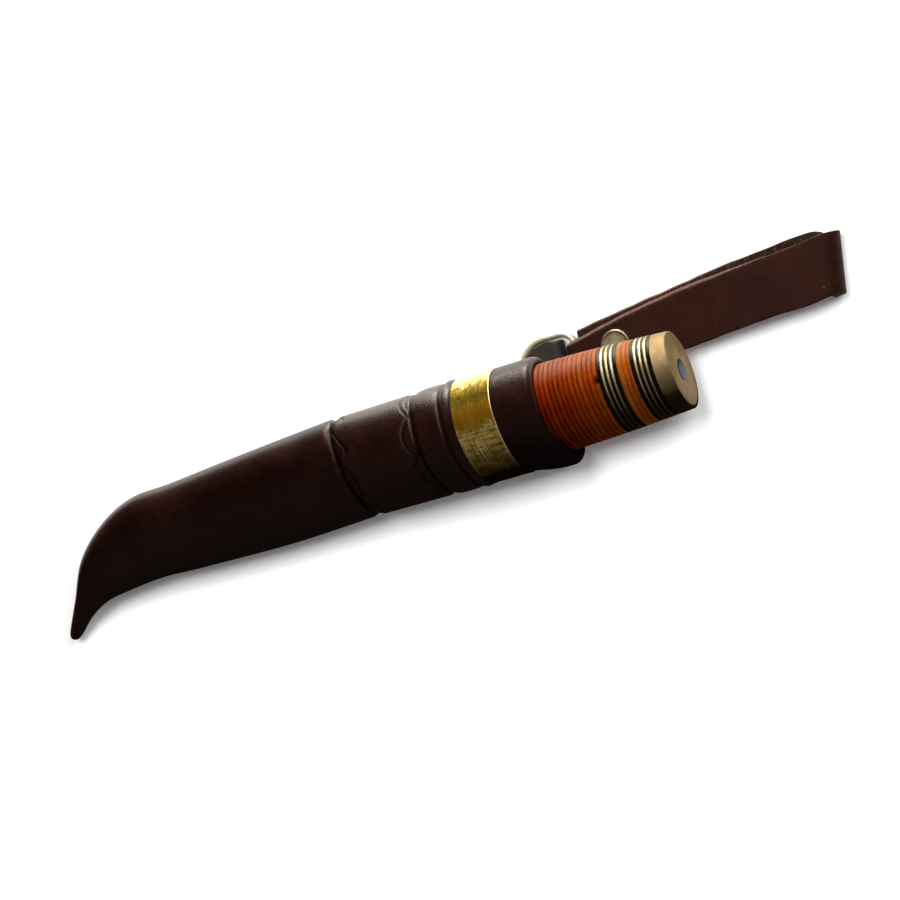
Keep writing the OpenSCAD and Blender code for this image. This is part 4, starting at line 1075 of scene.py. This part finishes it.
# %% Brass and steel finishes
SCRATCH_RELIEF_MM = 0.06


def scratches(tree, wrap, size, low, high):
    """Noise stretched to a size along x and around, in map millimetres, and cut to 0..1 by low and high."""
    space = add(tree, "Mapping", None, {"Vector": wrap, "Scale": (1 / size[0], 1 / size[1], 1.0)})
    lines = add(tree, "TexNoise", None, {"Vector": space, "Scale": 1.0, "Detail": 3.0, "Roughness": 0.7})
    return add(tree, "MapRange", None, {"Value": lines, "From Min": low, "From Max": high})


def metal(name, tones, gloss, first=(0.05, 8.0), second=(6.0, 0.2), scratch=0.25, streak=9.0, mark=0.5,
          shade_paint=0.0, lit_side_metal=1.0, shaded=(0.25, 0.75)):
    """Two sets of scratches added to a cloud set the tone; painted shade darkens it and dulls its metal on the
    side away from the light.
    """
    material, tree = finish_for(name)
    wrap = add(tree, "UVMap", {"uv_map": "wrap"}).outputs["UV"]
    place = add(tree, "TexCoord").outputs["Object"]
    down = add(tree, "Attribute", {"attribute_name": "down"}).outputs["Fac"]
    wear_and_highlight, crossed = scratches(tree, wrap, first, 0.0, 1.0), scratches(tree, wrap, second, 0.0, 1.0)
    both = add(tree, "Math", TIMES_PLUS, {0: wear_and_highlight, 1: 0.6, 2: crossed})
    cloud = add(tree, "TexNoise", None, {"Vector": place, "Scale": per_mm(streak), "Detail": 4.0,
                                         "Roughness": 0.6})
    toned = add(tree, "Math", TIMES_PLUS, {0: both, 1: mark, 2: cloud})
    tone_stops = (0.5 + 0.35 * mark, 0.5 + 0.8 * mark, min(1.0, 0.5 + 1.25 * mark))
    colour = add(tree, "ValToRGB", None, {"Fac": toned}, list(zip(tone_stops, tones)))
    # painted shade: darker and less metallic on the side away from the light
    shade = add(tree, "MapRange", None, {"Value": down, "From Min": shaded[0], "From Max": shaded[1],
                                         "To Max": shade_paint})
    painted_shade_tone = add(tree, "Mix", COLOUR_MIX, {"Factor": shade, BASE: colour, OVER: linear("#221405")})
    unshaded_metal = add(tree, "Math", {"operation": "SUBTRACT", "use_clamp": True}, {0: lit_side_metal, 1: shade})
    satin = add(tree, "MapRange", None, {"Value": both, "From Min": 0.4, "From Max": 1.2,
                                         "To Min": gloss - 0.08, "To Max": gloss + 0.14})
    relief = add(tree, "Bump", None, {"Height": both, "Strength": scratch, "Distance": SCRATCH_RELIEF_MM * MM})
    shader = add(tree, "BsdfPrincipled", None, {
        "Base Color": painted_shade_tone, "Metallic": unshaded_metal, "Roughness": satin, "Specular IOR Level": 0.0,
        "Normal": relief})
    add(tree, "OutputMaterial", None, {"Surface": shader})
    return material


# %% [markdown]
# The metals that share this recipe are filed cast brass, polished sheet, worn nickelled wire, stamped brass
# and steel. They differ in their tones, in how rough they are and in how much painted shade darkens their
# side away from the light.

# %% Metals of one recipe
wear([butt_cap, bolster], metal("cast_brass_filed", ("#a0865a", "#b89c70", "#c8ae84"), 0.68, streak=14.0,
                                mark=0.25, shade_paint=0.97, lit_side_metal=0.72, shaded=(0.32, 0.76)))
wear(brass_spacers, metal("sheet_brass_polished", ("#a08c58", "#cbb884", "#e6d8aa"), 0.36, scratch=0.12,
                          shade_paint=0.98, shaded=(0.3, 0.95)))
wear([ring], metal("nickelled_brass_wire_worn", ("#b3a983", "#d0c8a8", "#e4dec8"), 0.36, scratch=0.15,
                   lit_side_metal=0.5))
wear([rivet, rivet_back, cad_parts["rivet_post"]],
     metal("stamped_brass_dull", ("#6d664c", "#938a6a", "#b3aa88"), 0.36, scratch=0.15, mark=0.25))
wear([blade, tang], metal("carbon_steel_ground", ("#8d9298", "#a9afb5", "#c2c7cb"), 0.3, first=(9.6, 0.05),
                          second=(0.24, 3.6)))
wear([peen], metal("carbon_steel_hammered", ("#2b3138", "#3f464e", "#525962"), 0.45))

# %% [markdown]
# The band is the most handled brass, and its light is painted into its colour in belts. Its upper side has a
# painted highlight, a dark painted reflection with greenish streaks follows, then a warm belt, and its lower
# half has pale scratches painted as glints over brown painted shade, where its metal is turned down too. Its
# mark
# "down" runs from 0 at the top to 1 underneath, and its two rims get a pale painted highlight on the upper side.

# %% Band finish
band_finish, tree = finish_for("sheet_brass_hand_rubbed")
wrap = add(tree, "UVMap", {"uv_map": "wrap"}).outputs["UV"]
down, rim_line = (add(tree, "Attribute", {"attribute_name": mark}).outputs["Fac"]
                  for mark in ("down", "rim"))
blur = add(tree, "TexNoise", None, {"Vector": wrap, "Scale": 0.45, "Detail": 4.0, "Roughness": 0.6})
level = add(tree, "Math", TIMES_PLUS, {0: blur, 1: 0.16, 2: down})
# painted reflections, highlight and shade: belts of colour set by the side towards the light
painted_light_belts = add(tree, "ValToRGB", None, {"Fac": level},
            [(0.07, "#fbf4dc"), (0.13, "#e0ca84"), (0.19, "#8a6c20"), (0.27, "#564410"), (0.36, "#845e16"),
             (0.45, "#885f0e"), (0.54, "#8a6618"), (0.63, "#977424"), (0.73, "#80621f"), (0.82, "#624915"),
             (1.0, "#180f03")])
round_lines = scratches(tree, wrap, (0.32, 9.0), 0.48, 0.62)
axis_lines = scratches(tree, wrap, (9.0, 0.34), 0.5, 0.64)
gaps = scratches(tree, wrap, (4.0, 0.5), 0.46, 0.36)
patches = scratches(tree, wrap, (3.0, 3.0), 0.35, 0.6)
dark_reflection_zone = add(tree, "ValToRGB", None, {"Fac": level}, [(0.14, 0.0), (0.2, 1.0), (0.3, 0.9), (0.38, 0.0)])
dark_lines = add(tree, "Math", TIMES, {0: round_lines, 1: dark_reflection_zone})
streaked = add(tree, "Mix", COLOUR_MIX, {"Factor": dark_lines, BASE: painted_light_belts, OVER: linear("#454818")})
# pale scratches painted as glints, only in the lower belt
glint_zone = add(tree, "ValToRGB", None, {"Fac": level},
                [(0.5, 0.0), (0.58, 1.0), (0.74, 0.75), (0.86, 0.3), (1.0, 0.0)])
net = add(tree, "Math", {"operation": "MAXIMUM"}, {0: round_lines, 1: axis_lines})
pale_lines = add(tree, "Math", TIMES, {0: net, 1: glint_zone})
pale_part = add(tree, "Math", TIMES, {0: pale_lines, 1: patches})
netted = add(tree, "Mix", COLOUR_MIX, {"Factor": pale_part, BASE: streaked, OVER: linear("#e2cf92")})
gap_part = add(tree, "Math", TIMES, {0: gaps, 1: glint_zone})
gapped = add(tree, "Mix", COLOUR_MIX, {"Factor": gap_part, BASE: netted, OVER: linear("#33240a")})
# painted highlight on the rims, on the upper side only
rim_highlight_part = add(tree, "MapRange", None, {"Value": down, "From Min": 0.5, "From Max": 0.9,
                                        "To Min": 1.0, "To Max": 0.0})
rim_seen = add(tree, "Math", TIMES, {0: rim_line, 1: rim_highlight_part})
rimmed = add(tree, "Mix", COLOUR_MIX, {"Factor": rim_seen, BASE: gapped, OVER: linear("#f2e3ae")})
# painted shade: less metallic on the lower side
lit_side_metal = add(tree, "ValToRGB", None, {"Fac": level}, [(0.42, 1.0), (0.6, 0.25), (0.8, 0.0)])
relief = add(tree, "Bump", None, {"Height": net, "Strength": 0.5, "Distance": 0.05 * MM})
satin = add(tree, "MapRange", None, {"Value": net, "To Min": 0.3, "To Max": 0.48})
shader = add(tree, "BsdfPrincipled", None, {"Base Color": rimmed, "Metallic": lit_side_metal, "Roughness": satin,
                                            "Specular IOR Level": 0.0, "Normal": relief})
add(tree, "OutputMaterial", None, {"Surface": shader})
wear([band], band_finish)

# %% [markdown]
# The black washers are dyed leather, sanded flush and oiled, so they are nearly black, with a low sheen that
# is set only along the lit top, a painted sheen. Fine fibres are all that shows of their make.

# %% Black washers
black_finish, tree = finish_for("black_leather_sanded")
place = add(tree, "TexCoord").outputs["Object"]
down = add(tree, "Attribute", {"attribute_name": "down"}).outputs["Fac"]
fibres = add(tree, "TexNoise", None, {"Vector": place, "Scale": per_mm(0.5), "Detail": 4.0})
tint = add(tree, "ValToRGB", None, {"Fac": fibres}, [(0.35, "#0b0706"), (0.7, "#1f150f")])
relief = add(tree, "Bump", None, {"Height": fibres, "Strength": 0.2, "Distance": 0.05 * MM})
# painted sheen: shine only along the lit top
lit_top_shine = add(tree, "MapRange", None, {"Value": down, "From Min": 0.05, "From Max": 0.25,
                                     "To Min": 0.8, "To Max": 0.0})
shader = add(tree, "BsdfPrincipled", None, {"Base Color": tint, "Roughness": 0.5, "Normal": relief,
                                            "Specular IOR Level": lit_top_shine, "Specular Tint": linear("#ffe2c8")})
add(tree, "OutputMaterial", None, {"Surface": shader})
wear(black_spacers, black_finish)

# %% [markdown]
# The thread is waxed linen, whose twist shows as slanting ridges. On the back seam the ridges follow the
# stitch's own map. The keeper's stitches are plain solids without such a map, so theirs lie on the object's
# coordinates.

# %% Thread
THREAD_TONES = [(0.2, "#1d120c"), (0.8, "#4a3324")]
TWIST, RIDGES_PER_MM = np.radians(35), 2.2
thread_finish, tree = finish_for("linen_thread_waxed")
wrap = add(tree, "UVMap", {"uv_map": "wrap"}).outputs["UV"]
slanted = add(tree, "Mapping", None, {"Vector": wrap, "Rotation": (0, 0, TWIST),
                                      "Scale": (RIDGES_PER_MM, RIDGES_PER_MM, 1)})
twist = add(tree, "TexWave", None, {"Vector": slanted, "Scale": 1.0, "Distortion": 1.0}).outputs["Fac"]
tint = add(tree, "ValToRGB", None, {"Fac": twist}, THREAD_TONES)
relief = add(tree, "Bump", None, {"Height": twist, "Strength": 0.5, "Distance": 0.1 * MM})
shader = add(tree, "BsdfPrincipled", None, {"Base Color": tint, "Roughness": 0.6, "Normal": relief})
add(tree, "OutputMaterial", None, {"Surface": shader})
wear([seam_thread], thread_finish)

plain_thread, tree = finish_for("linen_thread_plain")
place = add(tree, "TexCoord").outputs["Object"]
twist = add(tree, "TexWave", {"bands_direction": "DIAGONAL"},
            {"Vector": place, "Scale": per_mm(1.2), "Distortion": 1.0}).outputs["Fac"]
tint = add(tree, "ValToRGB", None, {"Fac": twist}, THREAD_TONES)
shader = add(tree, "BsdfPrincipled", None, {"Base Color": tint, "Roughness": 0.6})
add(tree, "OutputMaterial", None, {"Surface": shader})
wear([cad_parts["keeper_stitches"]], plain_thread)

# %% [markdown]
# The liner is plain carved birch, seen only down the mouth. Its grain is a noise drawn out along the blade.

# %% Wooden liner
GRAIN_LONG_MM, GRAIN_WIDE_MM = 18, 0.9
liner_finish, tree = finish_for("birch_wood_carved")
place = add(tree, "TexCoord").outputs["Object"]
long_grain = add(tree, "Mapping", None, {
    "Vector": place, "Scale": (per_mm(GRAIN_LONG_MM), per_mm(GRAIN_WIDE_MM), per_mm(GRAIN_WIDE_MM))})
grain = add(tree, "TexNoise", None, {"Vector": long_grain, "Scale": 1.0, "Detail": 5.0})
tint = add(tree, "ValToRGB", None, {"Fac": grain}, [(0.3, "#a57f55"), (0.7, "#cfae84")])
relief = add(tree, "Bump", None, {"Height": grain, "Strength": 0.3, "Distance": 0.1 * MM})
shader = add(tree, "BsdfPrincipled", None, {"Base Color": tint, "Roughness": 0.6, "Normal": relief})
add(tree, "OutputMaterial", None, {"Surface": shader})
wear([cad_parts[n] for n in ("liner_front_half", "liner_back_half")], liner_finish)

# %% [markdown]
# The set is a white table. Seen directly or in a reflection it is white paper, and to other light it is
# grey, so that it doesn't throw too much light on the lower sides. A weak glow lifts it, and it still takes
# the knife's shadow.

# %% Table
TABLE_M, TABLE_GREY, TABLE_GLOW = 3.0, (0.45, 0.45, 0.45, 1), 0.12
table = bpy.data.objects.new("white_table", bpy.data.meshes.new("white_table"))
table_corners = [(TABLE_M * x, TABLE_M * y, 0) for x, y in ((-1, -1), (1, -1), (1, 1), (-1, 1))]
table.data.from_pydata(table_corners, [], [(0, 1, 2, 3)])
bpy.context.scene.collection.objects.link(table)
table_finish, tree = finish_for("white_paper")
seen = add(tree, "LightPath").outputs
some = add(tree, "Math", {"operation": "ADD"}, {0: seen["Is Camera Ray"], 1: seen["Is Glossy Ray"]})
direct = add(tree, "Math", {"operation": "ADD", "use_clamp": True}, {0: some, 1: seen["Is Transmission Ray"]})
paper = add(tree, "Mix", COLOUR_MIX, {"Factor": direct, BASE: TABLE_GREY, OVER: linear("#fafafa")})
glow = add(tree, "Math", TIMES, {0: direct, 1: TABLE_GLOW})
shader = add(tree, "BsdfPrincipled", None, {"Base Color": paper, "Roughness": 0.9, "Specular IOR Level": 0.1,
                                            "Emission Color": (1, 1, 1, 1), "Emission Strength": glow})
add(tree, "OutputMaterial", None, {"Surface": shader})
wear([table], table_finish)

# %% [markdown]
# Three softboxes light the knife alone. The wide one behind it puts a broad shine on the upper sides and
# leaves the near sides dark, a low one behind draws the fine light along the upper edge, and a weak one
# above opens the shade. Two more light only the table, so that its white and its soft shadow towards us are
# set by themselves.

# %% Light
world = bpy.data.worlds.new("studio")
bpy.context.scene.world = world
world.use_nodes = True
tree = world.node_tree
tree.nodes.clear()
backdrop = add(tree, "Background", None, {"Color": (1, 1, 1, 1), "Strength": 0.05})
add(tree, "OutputWorld", None, {"Surface": backdrop})


def softbox(name, place_mm, aim_mm, size_m, watts, on_table=False):
    """A square lamp on the table's axes, turned to its aim, for the table alone or for all but the table."""
    lamp = bpy.data.lights.new(name, "AREA")
    lamp.size = size_m
    lamp.energy = watts
    stand = bpy.data.objects.new(name, lamp)
    at, aim = Vector(from_table(place_mm)), Vector(from_table(aim_mm))
    stand.matrix_world = Matrix.Translation(at) @ (aim - at).to_track_quat("-Z", "Y").to_matrix().to_4x4()
    bpy.context.scene.collection.objects.link(stand)
    group = bpy.data.collections.new(name + "_reach")
    group.objects.link(table)
    group.collection_objects[0].light_linking.link_state = "INCLUDE" if on_table else "EXCLUDE"
    stand.light_linking.receiver_collection = group
    print(name, "is", round((aim - at).length, 2), "m away")


softbox("softbox_behind", (320, 1180, 1240), (-40, 0, 0), 1.2, 23.0)
softbox("softbox_low_behind", (-60, 900, 210), (-40, 0, 15), 0.42, 10.0)
softbox("softbox_above", (-120, 260, 860), (-40, 0, 0), 0.8, 1.2)
softbox("softbox_over_table", (60, 375, 1400), (-20, 0, 0), 0.66, 16.8, on_table=True)
softbox("softbox_right_of_table", (780, 300, 760), (-60, 0, 0), 0.6, 8.6, on_table=True)
bpy.context.scene.view_settings.view_transform = "Standard"
